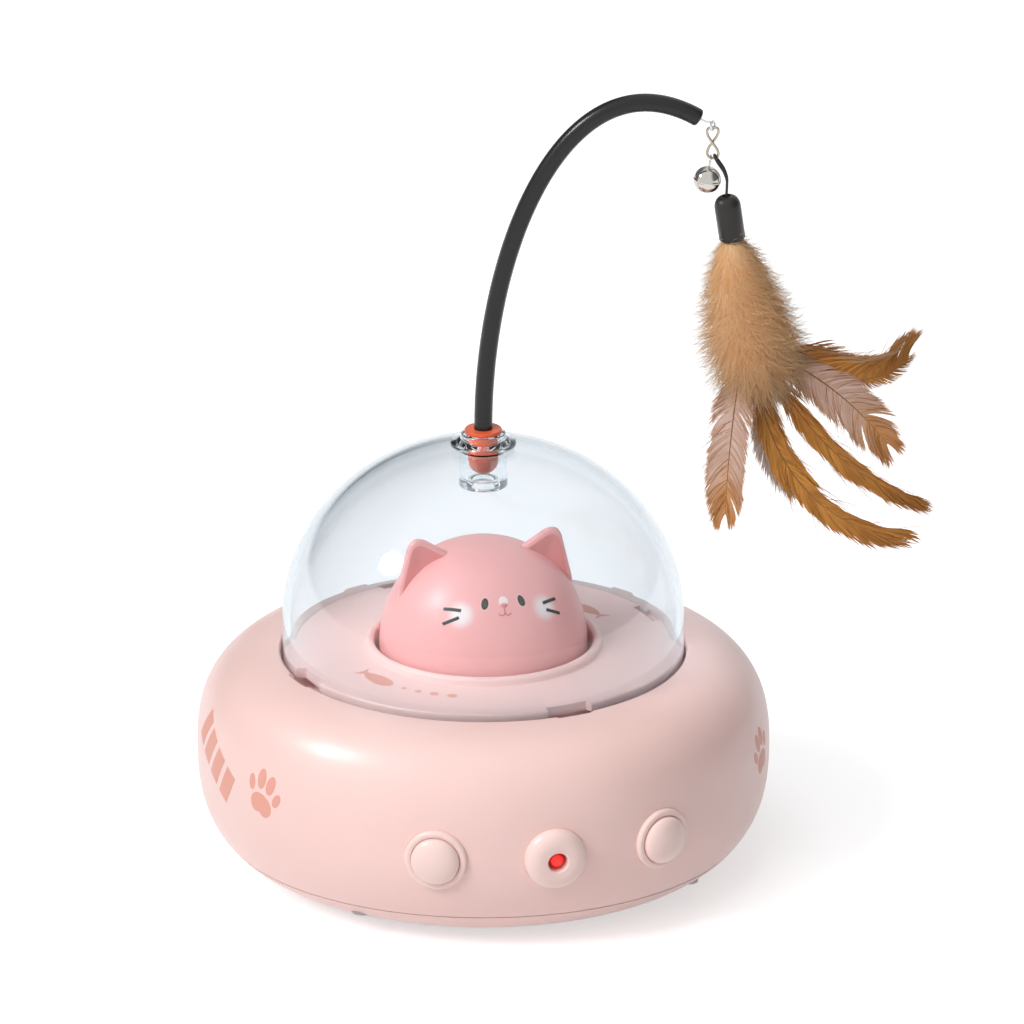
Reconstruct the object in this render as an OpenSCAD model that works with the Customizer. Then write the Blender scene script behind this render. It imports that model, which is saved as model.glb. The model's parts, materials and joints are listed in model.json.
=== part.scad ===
// Saucer-shaped cat teaser: a motor turns a clear dome and its teaser rod round a fixed cat head.
// Units are millimetres, +Z is up, the front (light and buttons) faces -Y, and Z = 0 is the floor.

/* [Saucer body] */
// Largest radius of the saucer
body_r = 75; // [70:1:85]
// Wall of the saucer shells
body_wall = 2.4; // [1.6:0.1:3]
// How far the feet lift the saucer off the floor
foot_proud = 1.2; // [0.8:0.1:3]
// Height from the flat bottom to the widest line
lower_h = 32.8; // [30:0.2:38]
// Height from the widest line to the shoulder
upper_h = 25.4; // [24:0.2:30]
// Radial depth of the lower curve
lower_reach = 34.4; // [30:0.2:38]
// Radial depth of the upper curve
upper_reach = 25; // [23.5:0.2:30]
// Fullness of the lower curve, where 2 is an ellipse
lower_power = 2.63; // [2:0.01:3]
// Fullness of the upper curve, where 2 is an ellipse
upper_power = 2.49; // [2:0.01:3]
// Height of the parting line above the flat bottom
seam_h = 9; // [8:0.5:10]
// Depth of the collar below the shoulder
collar_h = 7; // [6:0.5:9]

/* [Turntable and head] */
// Height of the turntable face above the shoulder
disc_proud = 1; // [0.4:0.1:2]
// Thickness of the turntable face
disc_t = 2.4; // [1.8:0.1:3]
// Radius of the well that the cat head stands in
well_r = 28.7; // [27:0.1:30]
// Depth of the well below the turntable face
well_depth = 10.4; // [9.6:0.2:12]
// Gap between the cat head and the wall of its well
head_gap = 1.4; // [1:0.1:3]
// Height of the cat head above the turntable face
head_h = 28.8; // [26:0.2:30]
// Radius of the fixed post
post_r = 5; // [4:0.2:6]
// Distance of each ear from the middle of the head
ear_side = 18; // [16:0.5:19]

/* [Dome] */
// Outer radius of the dome
dome_r = 52.6; // [51:0.1:54]
// Wall of the dome
dome_wall = 2; // [1.5:0.1:2.4]
// Height of the straight skirt above the turntable face
dome_skirt = 8; // [4:0.5:10]
// Height of the curved part of the dome
dome_h = 47.8; // [46:0.2:54]
// Radius of the rod socket
socket_r = 6.3; // [6:0.1:7]
// Radius of the bore that takes the rod's plug
socket_bore = 4; // [3.8:0.1:4.4]
// Depth of the socket below the top of the dome
socket_drop = 11.6; // [11:0.2:14]
// Height of the socket's collar above the top of the dome
socket_rise = 3.5; // [3:0.1:5]

/* [Teaser rod] */
// Direction of the rod round the upright axis
rod_turn = -15.5; // [-40:0.5:40]
// Radius of the rod's rubber sleeve
rod_r = 2.4; // [2:0.1:2.6]
// Radius of the steel wire in the rod
wire_r = 0.4; // [0.3:0.05:0.5]
// Height of the bend's end above the socket
rod_rise = 87.6; // [80:0.2:100]
// Sideways reach of the rod
rod_reach = 56.5; // [56:0.5:70]

/* [Lure] */
// Half the length of the twisted link
link_h = 4.3; // [4:0.1:5]
// Radius of the link's wire
link_wire = 0.36; // [0.3:0.02:0.38]
// Radius of the jingle bell
bell_r = 3.6; // [3:0.1:3.8]
// Radius of the cord
cord_r = 0.35; // [0.25:0.05:0.35]
// Radius of the cap that holds the feathers
cap_r = 3.45; // [3.2:0.05:4]
// Length of the cap
cap_h = 12.2; // [11:0.2:14]
// Largest radius of the fluff
fluff_r = 11.5; // [9:0.5:12]
// Length of the fluff
fluff_len = 39; // [36:0.5:42]
// Sideways lean of the fluff's lower end
fluff_lean = 3.3; // [2:0.1:5]
// Thickness of a feather's blade
feather_t = 0.7; // [0.5:0.1:0.9]

/* [Front controls] */
// Height of the light and the buttons above the floor
control_z = 28.6; // [26:0.2:30]
// Angle from the light to each button
control_pitch = 24; // [20:1:32]
// How far the controls tip down
control_tilt = 3; // [1:0.5:6]
// Radius of the rings round the buttons
bezel_r = 8.3; // [8:0.1:9]
// Radius of the button caps
button_r = 6.4; // [6:0.1:6.6]
// Travel of the buttons
button_travel = 1.2; // [0.8:0.1:1.4]
// Radius of the light's window
lens_r = 1.9; // [1.5:0.1:2.4]

/* [Drive] */
// Module of the gear teeth
gear_m = 0.8; // [0.7:0.02:0.82]
// Teeth on the motor pinion and on the small reduction wheel
pinion_teeth = 14; // [13:1:15]
// Teeth on the large reduction wheel
reduction_teeth = 42; // [39:3:42]
// Teeth on the turntable's gear
drive_teeth = 56; // [52:4:56]
// Play between the teeth
backlash = 0.16; // [0.12:0.02:0.3]
// Radius of the motor
motor_r = 8; // [7:0.5:9]
// Height of the deck above the floor
deck_z = 24; // [23:0.5:25]
// Thickness of the deck
deck_t = 2.5; // [2:0.1:3]

/* [Clearances] */
// Radial play of a shaft in its bore
shaft_play = 0.05; // [0.03:0.01:0.08]
// Gap between two faces that pass each other
face_gap = 0.3; // [0.2:0.05:0.5]
// Gap between the dome and the collar of the saucer
collar_gap = 0.5; // [0.4:0.1:0.8]

/* [Hidden] */
$fn = 64;

// Levels up the saucer
waist_z = foot_proud + lower_h;
shoulder_z = waist_z + upper_h;
seam_z = foot_proud + seam_h;
floor_z = foot_proud + body_wall;
disc_z = shoulder_z + disc_proud;
collar_r = dome_r + collar_gap;
curve_steps = 16;

// Levels of the turntable and its post
deck_top = deck_z + deck_t;
well_floor_z = disc_z - well_depth;
well_floor_t = 2;
head_r = well_r - head_gap;
well_wall = 2;
hub_r = 10;
hub_bottom = disc_z - 19.2;
washer_t = 1;
washer_r = 9;
step_top = hub_bottom - washer_t - shaft_play;
post_top = disc_z + 6;
clip_t = 1;
clip_r = 8;

// Dome foot and its four bayonet tabs
foot_seat_z = disc_z - 5;
dome_foot_z = foot_seat_z + 0.1;
disc_r = dome_r - dome_wall - face_gap;
tab_reach = 2.2;
tab_t = 1.8;
tab_angle = 10;
notch_angle = 14;
notch_first = 12;
collar_notch_angle = 11;
collar_notch_w = 1.5;
collar_notch_h = 1.5;
lock_turn = 16;
dome_top = disc_z + dome_skirt + dome_h;

// Socket and plug levels
socket_bottom = dome_top - socket_drop;
socket_top = dome_top + socket_rise;
socket_floor = 2;
plug_r = socket_bore - shaft_play;
plug_cap_r = 4.85;
plug_cap_t = 1;
plug_bottom = socket_bottom + 3.4;
rod_foot_z = plug_bottom + 4.2;
rod_bore = rod_r + 0.02;

// Gear train
idler_turn = 20;
motor_turn = -20;
mesh_ring = gear_m * (drive_teeth + pinion_teeth) / 2;
mesh_motor = gear_m * (reduction_teeth + pinion_teeth) / 2;
idler_at = mesh_ring * [cos(idler_turn), sin(idler_turn)];
motor_at = idler_at + mesh_motor * [cos(motor_turn), sin(motor_turn)];
wheel_t = 5;
wheel_z = deck_top + 1;
drive_z = hub_bottom + 0.3;
drive_t = 5.4;
pin_r = 1.5;
shaft_r = 1;

// Screws and pillars
screw_r = 1.45;
screw_head_r = 2.8;
screw_head_t = 1.8;
pilot_r = screw_r + shaft_play;
boss_r = 3.8;
boss_ring = body_r - 13;
boss_turns = [45, 135, 225, 315];
pillar_ring = 45;
pillar_turns = [60, 180, 300];
foot_ring = body_r - lower_reach - 7;
foot_r = 5;
pad_sink = 0.8;

// A point of the saucer's outside, or of its inside when drawn in by a wall
function upper_point(t, wall) = [
    body_r - upper_reach + (upper_reach - wall) * pow(cos(t), 2 / upper_power),
    waist_z + (upper_h - wall) * pow(sin(t), 2 / upper_power)];
function lower_point(t, wall) = [
    body_r - lower_reach + (lower_reach - wall) * pow(cos(t), 2 / lower_power),
    waist_z - (lower_h - wall) * pow(sin(t), 2 / lower_power)];
function upper_curve(wall) = [for (i = [0:curve_steps]) upper_point(90 * i / curve_steps, wall)];
// The angle at which the lower curve passes a height
function lower_angle(z, wall) = asin(pow((waist_z - z) / (lower_h - wall), lower_power / 2));
function lower_curve(from, to, wall) =
    [for (i = [0:curve_steps]) lower_point(from + (to - from) * i / curve_steps, wall)];
// The saucer's radius at a height below its waist
function lower_radius(z) = lower_point(lower_angle(z, 0), 0)[0];
control_r = lower_radius(control_z);

// Sizes of the front controls along their own axis, where 0 is the saucer's surface
bezel_sink = 1.8;
bezel_proud = 1;
sleeve_r = 7.3;
sleeve_depth = 12;
sleeve_floor = 1.5;
switch_h = 3.5;
module_r = 3;
module_len = 13;
module_sink = 4;
lens_sink = 5.2;
lens_proud = 1.6;
lens_crown = 0.7;

// Vector helpers for swept tubes and blades
function unit(v) = v / norm(v);
function bezier(p, t) = pow(1 - t, 3) * p[0] + 3 * pow(1 - t, 2) * t * p[1]
    + 3 * (1 - t) * t * t * p[2] + pow(t, 3) * p[3];
function bezier_path(p, n) = [for (i = [0:n]) bezier(p, i / n)];
function heading(path, i, closed) = let (n = len(path))
    closed ? unit(path[(i + 1) % n] - path[(i + n - 1) % n])
    : unit(path[min(i + 1, n - 1)] - path[max(i - 1, 0)]);
function across(ref, t) = unit(ref - (ref * t) * t);
function radius_at(r, i) = is_list(r) ? r[i] : r;
// One ring of points round a path
function ring(path, i, r, sides, ref, closed) = let (
    t = heading(path, i, closed), a = across(ref, t), b = cross(t, a))
    [for (k = [0:sides - 1]) path[i]
        + radius_at(r, i) * (cos(360 * k / sides) * a + sin(360 * k / sides) * b)];
// The triangles that join one ring to the next
function band(i, j, sides, turn) = [for (k = [0:sides - 1]) let (m = (k + 1) % sides)
    each turn
        ? [[i * sides + k, j * sides + k, i * sides + m], [i * sides + m, j * sides + k, j * sides + m]]
        : [[i * sides + k, i * sides + m, j * sides + k], [i * sides + m, j * sides + m, j * sides + k]]];

// A round bar along a path, open or closed on itself
module bar(path, r, sides, ref, closed = false) {
    n = len(path);
    points = [for (i = [0:n - 1]) each ring(path, i, r, sides, ref, closed)];
    first = [for (k = [1:sides - 2]) [0, k, k + 1]];
    last = [for (k = [1:sides - 2]) [(n - 1) * sides, (n - 1) * sides + k + 1, (n - 1) * sides + k]];
    sides_of = [for (i = [0:closed ? n - 1 : n - 2]) each band(i, (i + 1) % n, sides, true)];
    polyhedron(points, concat(sides_of, closed ? [] : concat(first, last)), convexity = 6);
}

// A hollow tube along an open path
module pipe(path, r, bore, sides, ref) {
    n = len(path);
    outer = [for (i = [0:n - 1]) each ring(path, i, r, sides, ref, false)];
    inner = [for (i = [0:n - 1]) each ring(path, i, bore, sides, ref, false)];
    shift = n * sides;
    outside = [for (i = [0:n - 2]) each band(i, i + 1, sides, true)];
    inside = [for (i = [0:n - 2]) for (f = band(i, i + 1, sides, false)) f + [shift, shift, shift]];
    start = [for (k = [0:sides - 1]) let (m = (k + 1) % sides)
        each [[k, m, shift + k], [m, shift + m, shift + k]]];
    base = (n - 1) * sides;
    finish = [for (k = [0:sides - 1]) let (m = (k + 1) % sides)
        each [[base + k, shift + base + k, base + m], [base + m, shift + base + k, shift + base + m]]];
    polyhedron(concat(outer, inner), concat(outside, inside, start, finish), convexity = 6);
}

// A leaf-shaped blade with a ridge on both faces, whose flat lies across the depth axis
module blade(path, half_width, thickness) {
    n = len(path);
    depth = [0, 1, 0];
    points = [for (i = [0:n - 1]) let (
        t = heading(path, i, false), s = unit(cross(t, depth)), u = unit(cross(s, t)),
        w = half_width * (0.12 + 0.88 * pow(sin(180 * (0.04 + 0.9 * i / (n - 1))), 0.8)))
        each [path[i] - w * s, path[i] + thickness / 2 * u, path[i] + w * s, path[i] - thickness / 2 * u]];
    sides_of = [for (i = [0:n - 2]) each band(i, i + 1, 4, false)];
    first = [[0, 2, 1], [0, 3, 2]];
    last = [[4 * n - 4, 4 * n - 3, 4 * n - 2], [4 * n - 4, 4 * n - 2, 4 * n - 1]];
    polyhedron(points, concat(sides_of, first, last), convexity = 4);
}

// Saucer shells
module saucer_solid() {
    rotate_extrude($fn = 128)
        polygon(concat([[0, seam_z]], lower_curve(lower_angle(seam_z, 0), 0, 0), upper_curve(0),
            [[0, shoulder_z]]));
}

module saucer_hollow() {
    rotate_extrude($fn = 128)
        polygon(concat([[0, seam_z - 1], [lower_radius(seam_z) - body_wall, seam_z - 1]],
            lower_curve(lower_angle(seam_z, body_wall), 0, body_wall), upper_curve(body_wall),
            [[0, shoulder_z - body_wall]]));
}

// A place on the front of the saucer, with +Z pointing out of the wall
module front_place(turn) {
    rotate([0, 0, turn - 90])
        translate([control_r, 0, control_z])
            rotate([0, 90 + control_tilt, 0])
                children();
}

module control_cut() {
    translate([0, 0, -bezel_sink])
        cylinder(r = bezel_r + shaft_play, h = bezel_sink + 10);
    translate([0, 0, -sleeve_depth])
        cylinder(r = sleeve_r + shaft_play, h = sleeve_depth);
}

usb_w = 9;
usb_h = 3.2;
usb_len = 8;
usb_z = seam_z + 2.6;
usb_mouth_y = lower_radius(usb_z) - body_wall - 0.6;
board_t = 1.6;
board_z = usb_z - usb_h / 2 - board_t;
board_len = 30;
board_w = 30;
board_end_y = usb_mouth_y - 6;

module upper_shell() {
    color("#f2cfc9")
    difference() {
        union() {
            difference() {
                saucer_solid();
                saucer_hollow();
            }
            translate([0, 0, shoulder_z - collar_h])
                cylinder(r = collar_r + body_wall, h = collar_h - body_wall / 2, $fn = 128);
            intersection() {
                saucer_solid();
                for (turn = boss_turns)
                    rotate([0, 0, turn])
                        translate([boss_ring, 0, seam_z])
                            cylinder(r = boss_r, h = shoulder_z);
            }
        }
        translate([0, 0, shoulder_z - collar_h - 1])
            cylinder(r = collar_r, h = collar_h + 10, $fn = 128);
        for (k = [0:3])
            rotate([0, 0, notch_first + 90 * k - collar_notch_angle / 2])
                rotate_extrude(angle = collar_notch_angle, $fn = 128)
                    translate([collar_r - 1, shoulder_z - collar_notch_h])
                        square([collar_notch_w + 1, collar_notch_h + 1]);
        for (turn = boss_turns)
            rotate([0, 0, turn])
                translate([boss_ring, 0, seam_z - 1])
                    cylinder(r = pilot_r, h = 16);
        for (turn = [-control_pitch, 0, control_pitch])
            front_place(turn)
                control_cut();
        translate([0, usb_mouth_y - usb_len, usb_z])
            rotate([-90, 0, 0])
                linear_extrude(usb_len + 20)
                    usb_outline(face_gap);
    }
}

module usb_outline(grow) {
    r = usb_h / 2 + grow;
    side = usb_w / 2 - usb_h / 2;
    square([2 * side, 2 * r], center = true);
    for (x = [-side, side])
        translate([x, 0])
            circle(r = r);
}

module base_cover() {
    bottom_r = body_r - lower_reach;
    color("#efc7c1")
    difference() {
        union() {
            difference() {
                rotate_extrude($fn = 128)
                    polygon(concat([[0, foot_proud], [bottom_r, foot_proud]],
                        lower_curve(90, lower_angle(seam_z, 0), 0), [[0, seam_z]]));
                rotate_extrude($fn = 128)
                    polygon(concat([[0, floor_z], [bottom_r, floor_z]],
                        lower_curve(90, lower_angle(seam_z, body_wall), body_wall),
                        [[lower_radius(seam_z) - body_wall, seam_z + 1], [0, seam_z + 1]]));
            }
            intersection() {
                for (turn = boss_turns)
                    rotate([0, 0, turn])
                        translate([boss_ring, 0, 0])
                            cylinder(r = boss_r + 0.8, h = seam_z);
                rotate_extrude($fn = 128)
                    polygon(concat([[0, foot_proud], [bottom_r, foot_proud]],
                        lower_curve(90, lower_angle(seam_z, 0), 0), [[0, seam_z]]));
            }
            for (turn = pillar_turns)
                rotate([0, 0, turn])
                    translate([pillar_ring, 0, floor_z - 1])
                        cylinder(r = boss_r, h = deck_z - floor_z + 1);
            for (side = [-1, 1])
                translate([side * (board_w / 2 - 4) - 1.5, board_end_y - board_len + 3, floor_z - 1])
                    cube([3, board_len - 14, board_z - floor_z + 1]);
        }
        for (turn = boss_turns)
            rotate([0, 0, turn])
                translate([boss_ring, 0, 0]) {
                    cylinder(r = screw_r + 0.25, h = seam_z + 1);
                    cylinder(r = screw_head_r + 0.3, h = seam_z - 2.4);
                }
        for (turn = pillar_turns)
            rotate([0, 0, turn])
                translate([pillar_ring, 0, deck_z - 10])
                    cylinder(r = pilot_r, h = 11);
        for (turn = boss_turns)
            rotate([0, 0, turn])
                translate([foot_ring, 0, 0])
                    cylinder_between(foot_r + shaft_play, foot_proud - 1, foot_proud + pad_sink);
        cylinder_between(foot_r + shaft_play, foot_proud - 1, foot_proud + pad_sink);
    }
}

// One rubber pad, let into the flat bottom
module pad() {
    rotate_extrude()
        polygon([[0, 0], [foot_r - 0.8, 0], [foot_r, 0.6], [foot_r, foot_proud + pad_sink],
            [0, foot_proud + pad_sink]]);
}

module rubber_feet() {
    color("#8a8583") {
        pad();
        for (turn = boss_turns)
            rotate([0, 0, turn])
                translate([foot_ring, 0, 0])
                    pad();
    }
}

// A pan-head screw that points up, seated on the underside of its head's face at Z = 0
module screw(length) {
    difference() {
        union() {
            translate([0, 0, -screw_head_t])
                cylinder(r = screw_head_r, h = screw_head_t);
            cylinder(r = screw_r, h = length);
        }
        for (turn = [0, 90])
            rotate([0, 0, turn])
                translate([-1.6, -0.35, -screw_head_t - 1])
                    cube([3.2, 0.7, 1.9]);
    }
}

module base_screws() {
    color("#b9bcc0")
    for (turn = boss_turns)
        rotate([0, 0, turn])
            translate([boss_ring, 0, seam_z - 2.4])
                screw(14);
}

module deck_screws() {
    color("#b9bcc0")
    for (turn = pillar_turns)
        rotate([0, 0, turn])
            translate([pillar_ring, 0, deck_top])
                rotate([180, 0, 0])
                    screw(9);
}

// Deck with the fixed post that the turntable runs on
deck_r = pillar_ring + 12;

module deck() {
    color("#e9e4e0")
    difference() {
        union() {
            translate([0, 0, deck_z])
                cylinder(r = deck_r, h = deck_t, $fn = 96);
            cylinder_between(washer_r, deck_z, step_top);
            cylinder_between(post_r, deck_z, post_top);
            translate([idler_at[0], idler_at[1], 0])
                cylinder_between(3, deck_z, wheel_z - 0.2);
            for (k = [0:2])
                rotate([0, 0, 120 * k + 90])
                    translate([0, -0.8, deck_z])
                        cube([16, 1.6, 8]);
        }
        for (turn = pillar_turns)
            rotate([0, 0, turn])
                translate([pillar_ring, 0, deck_z - 1])
                    cylinder(r = screw_r + 0.2, h = deck_t + 2);
        translate([motor_at[0], motor_at[1], deck_z - 1])
            cylinder(r = 3.3, h = deck_t + 2);
        translate([idler_at[0], idler_at[1], deck_z - 1])
            cylinder(r = pin_r + 0.02, h = wheel_z);
        translate([0, -deck_r, 0])
            cylinder_between(18, deck_z - 1, deck_top + 1);
        translate([0, deck_r, 0])
            cylinder_between(16, deck_z - 1, deck_top + 1);
    }
}

module cylinder_between(r, low, high) {
    translate([0, 0, low])
        cylinder(r = r, h = high - low);
}

module thrust_washer() {
    color("#d8d2c4")
    difference() {
        cylinder_between(washer_r, step_top, step_top + washer_t);
        cylinder_between(post_r + shaft_play, step_top - 1, hub_bottom + 1);
    }
}

module post_clip() {
    clip_z = well_floor_z + shaft_play;
    color("#9da2a8")
    difference() {
        cylinder_between(clip_r, clip_z, clip_z + clip_t);
        cylinder_between(post_r + 0.02, clip_z - 1, clip_z + clip_t + 1);
        translate([0, -1.5, clip_z - 1])
            cube([clip_r + 1, 3, clip_t + 2]);
    }
}

// Cat head: a shell with two ears, pushed on the post
head_foot_z = well_floor_z + clip_t + 0.6;
head_wall = 2.2;
head_power = 2.1;

function head_curve(wall) = [for (i = [0:curve_steps]) let (t = 90 * i / curve_steps)
    [(head_r - wall) * pow(cos(t), 2 / head_power),
        disc_z + (head_h - wall) * pow(sin(t), 2 / head_power)]];

module ear(side) {
    hull() {
        translate([side * (ear_side - 9.5), -1.5, disc_z + head_h - 4.4])
            sphere(r = 2, $fn = 24);
        translate([side * (ear_side + 4.2), -1.5, disc_z + head_h - 12])
            sphere(r = 2, $fn = 24);
        translate([side * (ear_side + 0.8), -1.5, disc_z + head_h + 1.4])
            sphere(r = 1.6, $fn = 24);
    }
}

module cat_head() {
    boss = 8.6;
    color("#f1a9ac")
    difference() {
        union() {
            rotate_extrude($fn = 96)
                polygon(concat([[head_r - head_wall, head_foot_z], [head_r, head_foot_z]], head_curve(0),
                    [for (i = [curve_steps:-1:0]) head_curve(head_wall)[i]]));
            cylinder_between(boss, head_foot_z, disc_z + head_h - head_wall - 1);
            ear(-1);
            ear(1);
        }
        cylinder_between(post_r + 0.03, head_foot_z - 1, post_top);
    }
}

// Motor under the deck, its shaft and pinion, and the reduction wheel on its pin
motor_h = 18;

module motor() {
    color("#b5b8bb")
    translate([motor_at[0], motor_at[1], 0])
        difference() {
            union() {
                cylinder_between(motor_r, deck_z - motor_h, deck_z);
                cylinder_between(3, deck_z, deck_top - 0.6);
            }
            cylinder_between(shaft_r + shaft_play, deck_z - motor_h + 4, deck_top);
        }
}

module motor_shaft() {
    color("#c9ccd0")
    translate([motor_at[0], motor_at[1], 0])
        cylinder_between(shaft_r, deck_z - motor_h + 4.2, wheel_z + wheel_t + 1);
}

// Involute spur gear with a tooth on the +X axis
function involute(a) = tan(a) * 180 / PI - a;
module spur_gear(teeth, thickness, bore) {
    pressure = 20;
    flank_steps = 4;
    pitch = gear_m * teeth / 2;
    base = pitch * cos(pressure);
    tip = pitch + 0.75 * gear_m;
    root = pitch - 1.1 * gear_m;
    low = max(base, root);
    half = 90 / teeth - backlash / 2 / pitch * 180 / PI;
    radii = [for (i = [0:flank_steps]) low + (tip - low) * i / flank_steps];
    turns = [for (q = radii) half + involute(pressure) - involute(acos(base / q))];
    outline = [for (k = [0:teeth - 1]) let (c = 360 * k / teeth) each concat(
        [root * [cos(c - turns[0]), sin(c - turns[0])]],
        [for (i = [0:flank_steps]) radii[i] * [cos(c - turns[i]), sin(c - turns[i])]],
        [for (i = [flank_steps:-1:0]) radii[i] * [cos(c + turns[i]), sin(c + turns[i])]],
        [root * [cos(c + turns[0]), sin(c + turns[0])]])];
    difference() {
        linear_extrude(thickness)
            polygon(outline);
        translate([0, 0, -1])
            cylinder(r = bore, h = thickness + 2);
    }
}

module motor_pinion() {
    color("#d9b45f")
    translate([motor_at[0], motor_at[1], wheel_z])
        rotate([0, 0, motor_turn + 180 + 180 / pinion_teeth])
            spur_gear(pinion_teeth, wheel_t, shaft_r + 0.01);
}

module reduction_gear() {
    color("#f3efe2")
    translate([idler_at[0], idler_at[1], wheel_z]) {
        rotate([0, 0, motor_turn])
            spur_gear(reduction_teeth, wheel_t, pin_r + shaft_play);
        translate([0, 0, wheel_t])
            rotate([0, 0, idler_turn + 180 + 180 / pinion_teeth])
                spur_gear(pinion_teeth, drive_z + drive_t - wheel_z - wheel_t, pin_r + shaft_play);
    }
}

module gear_pin() {
    color("#c9ccd0")
    translate([idler_at[0], idler_at[1], 0])
        cylinder_between(pin_r, deck_z, drive_z + drive_t + 0.4);
}

module drive_gear() {
    color("#f3efe2")
    translate([0, 0, drive_z])
        rotate([0, 0, idler_turn])
            spur_gear(drive_teeth, drive_t, hub_r + 0.02);
}

// Power and control
battery_size = [28, 48, 9];
battery_x = -20;

module battery() {
    color("#5a78a8")
    translate([battery_x, 0, floor_z + battery_size[2] / 2])
        cube(battery_size, center = true);
}

module control_board() {
    color("#3f7d55")
    difference() {
        translate([-board_w / 2, board_end_y - board_len, board_z])
            cube([board_w, board_len, board_t]);
        for (x = [-1, 1])
            translate([x * (board_w / 2 - 9), board_end_y - board_len + 3, board_z - 1])
                cylinder(r = 1.1, h = board_t + 2);
    }
}

module usb_port() {
    shell = 0.35;
    color("#c7cacd")
    translate([0, usb_mouth_y - usb_len, usb_z])
        rotate([-90, 0, 0])
            difference() {
                linear_extrude(usb_len)
                    usb_outline(0);
                translate([0, 0, 1.2])
                    linear_extrude(usb_len)
                        difference() {
                            usb_outline(-shell);
                            square([6.4, 0.7], center = true);
                        }
            }
}

// Front light
module laser_bezel() {
    crown = 3.4;
    mouth = lens_r + 0.7;
    color("#f4d6d0")
    front_place(0)
        rotate_extrude()
            polygon(concat([[module_r + shaft_play, -sleeve_depth], [sleeve_r, -sleeve_depth],
                    [sleeve_r, -bezel_sink], [bezel_r, -bezel_sink]],
                [for (i = [0:8]) [bezel_r - 4 + 4 * cos(90 * i / 8), 0.2 + (crown - 0.2) * sin(90 * i / 8)]],
                [[mouth + 0.5, crown], [mouth, crown - 0.5], [mouth, -module_sink],
                    [module_r + shaft_play, -module_sink]]));
}

module laser_module() {
    color("#c79a4b")
    front_place(0)
        difference() {
            translate([0, 0, -module_sink - module_len])
                cylinder(r = module_r, h = module_len);
            translate([0, 0, -lens_sink])
                cylinder(r = lens_r + shaft_play, h = lens_sink);
        }
}

module laser_lens() {
    color("#e0120c")
    front_place(0)
        rotate_extrude()
            polygon(concat([[0, -lens_sink], [lens_r, -lens_sink], [lens_r, lens_proud]],
                [for (i = [0:6]) [lens_r * cos(15 * i), lens_proud + lens_crown * sin(15 * i)]]));
}

// Push buttons: a ring that holds the switch, the switch, and the cap that slides in the ring
module button_bezel(turn) {
    guide = button_r + 0.12;
    color("#f1cdc7")
    front_place(turn)
        rotate_extrude()
            polygon(concat([[0, -sleeve_depth], [sleeve_r, -sleeve_depth], [sleeve_r, -bezel_sink],
                    [bezel_r, -bezel_sink]],
                [for (i = [0:6]) [bezel_r - 0.9 + 0.9 * cos(15 * i), bezel_proud - 0.9 + 0.9 * sin(15 * i)]],
                [[guide + 0.3, bezel_proud], [guide, bezel_proud - 0.3], [guide, sleeve_floor - sleeve_depth],
                    [0, sleeve_floor - sleeve_depth]]));
}

module button_switch(turn) {
    base = sleeve_floor - sleeve_depth;
    color("#3a3a3d")
    front_place(turn) {
        translate([-3, -3, base])
            cube([6, 6, switch_h - 0.8]);
        translate([0, 0, base + switch_h - 0.8])
            cylinder(r = 1.7, h = 0.8);
    }
}

module button_cap(turn) {
    stem_end = sleeve_floor - sleeve_depth + switch_h + button_travel + 0.1;
    crown = 3;
    edge = bezel_proud + 0.2;
    color("#f6dcd6")
    front_place(turn)
        rotate_extrude()
            polygon(concat([[0, stem_end], [1.8, stem_end], [1.8, -2.4], [button_r, -2.4], [button_r, edge]],
                [for (i = [1:8]) [button_r * cos(90 * i / 8), edge + crown * sin(90 * i / 8)]]));
}

module mode_bezel() { button_bezel(-control_pitch); }
module power_bezel() { button_bezel(control_pitch); }
module mode_switch() { button_switch(-control_pitch); }
module power_switch() { button_switch(control_pitch); }
module mode_button() { button_cap(-control_pitch); }
module power_button() { button_cap(control_pitch); }

// Turntable: face, head well, hub and the flange under the dome
module turntable() {
    neck = disc_r - 5.4;
    flange_r = dome_r - 0.2;
    lip = 2.2;
    color("#f0cbc5")
    difference() {
        rotate_extrude($fn = 128)
            polygon([[post_r + shaft_play, hub_bottom], [hub_r, hub_bottom],
                [hub_r, well_floor_z - well_floor_t], [well_r + well_wall, well_floor_z - well_floor_t],
                [well_r + well_wall, disc_z - disc_t], [neck - 2, disc_z - disc_t],
                [neck - 2, foot_seat_z - 2], [flange_r, foot_seat_z - 2], [flange_r, foot_seat_z],
                [neck, foot_seat_z], [neck, disc_z - disc_t], [disc_r, disc_z - disc_t],
                [disc_r, disc_z - 0.4], [disc_r - 0.4, disc_z],
                [well_r + 2.4, disc_z], [well_r + 2.1, disc_z + lip * 0.6], [well_r + 1.5, disc_z + lip * 0.94],
                [well_r + 0.9, disc_z + lip], [well_r + 0.3, disc_z + lip * 0.9], [well_r, disc_z + lip * 0.6],
                [well_r, well_floor_z], [post_r + shaft_play, well_floor_z]]);
        for (k = [0:3])
            rotate([0, 0, notch_first + 90 * k - notch_angle / 2])
                rotate_extrude(angle = notch_angle, $fn = 128)
                    translate([disc_r - tab_reach - face_gap, disc_z - disc_t - 1])
                        square([tab_reach + 2, disc_t + 2]);
    }
}

// Clear dome with four tabs that lock under the turntable's edge
function dome_curve(wall) = [for (i = [0:2 * curve_steps]) let (t = 45 * i / curve_steps)
    [(dome_r - wall) * cos(t), disc_z + dome_skirt + (dome_h - wall) * sin(t)]];

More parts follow.
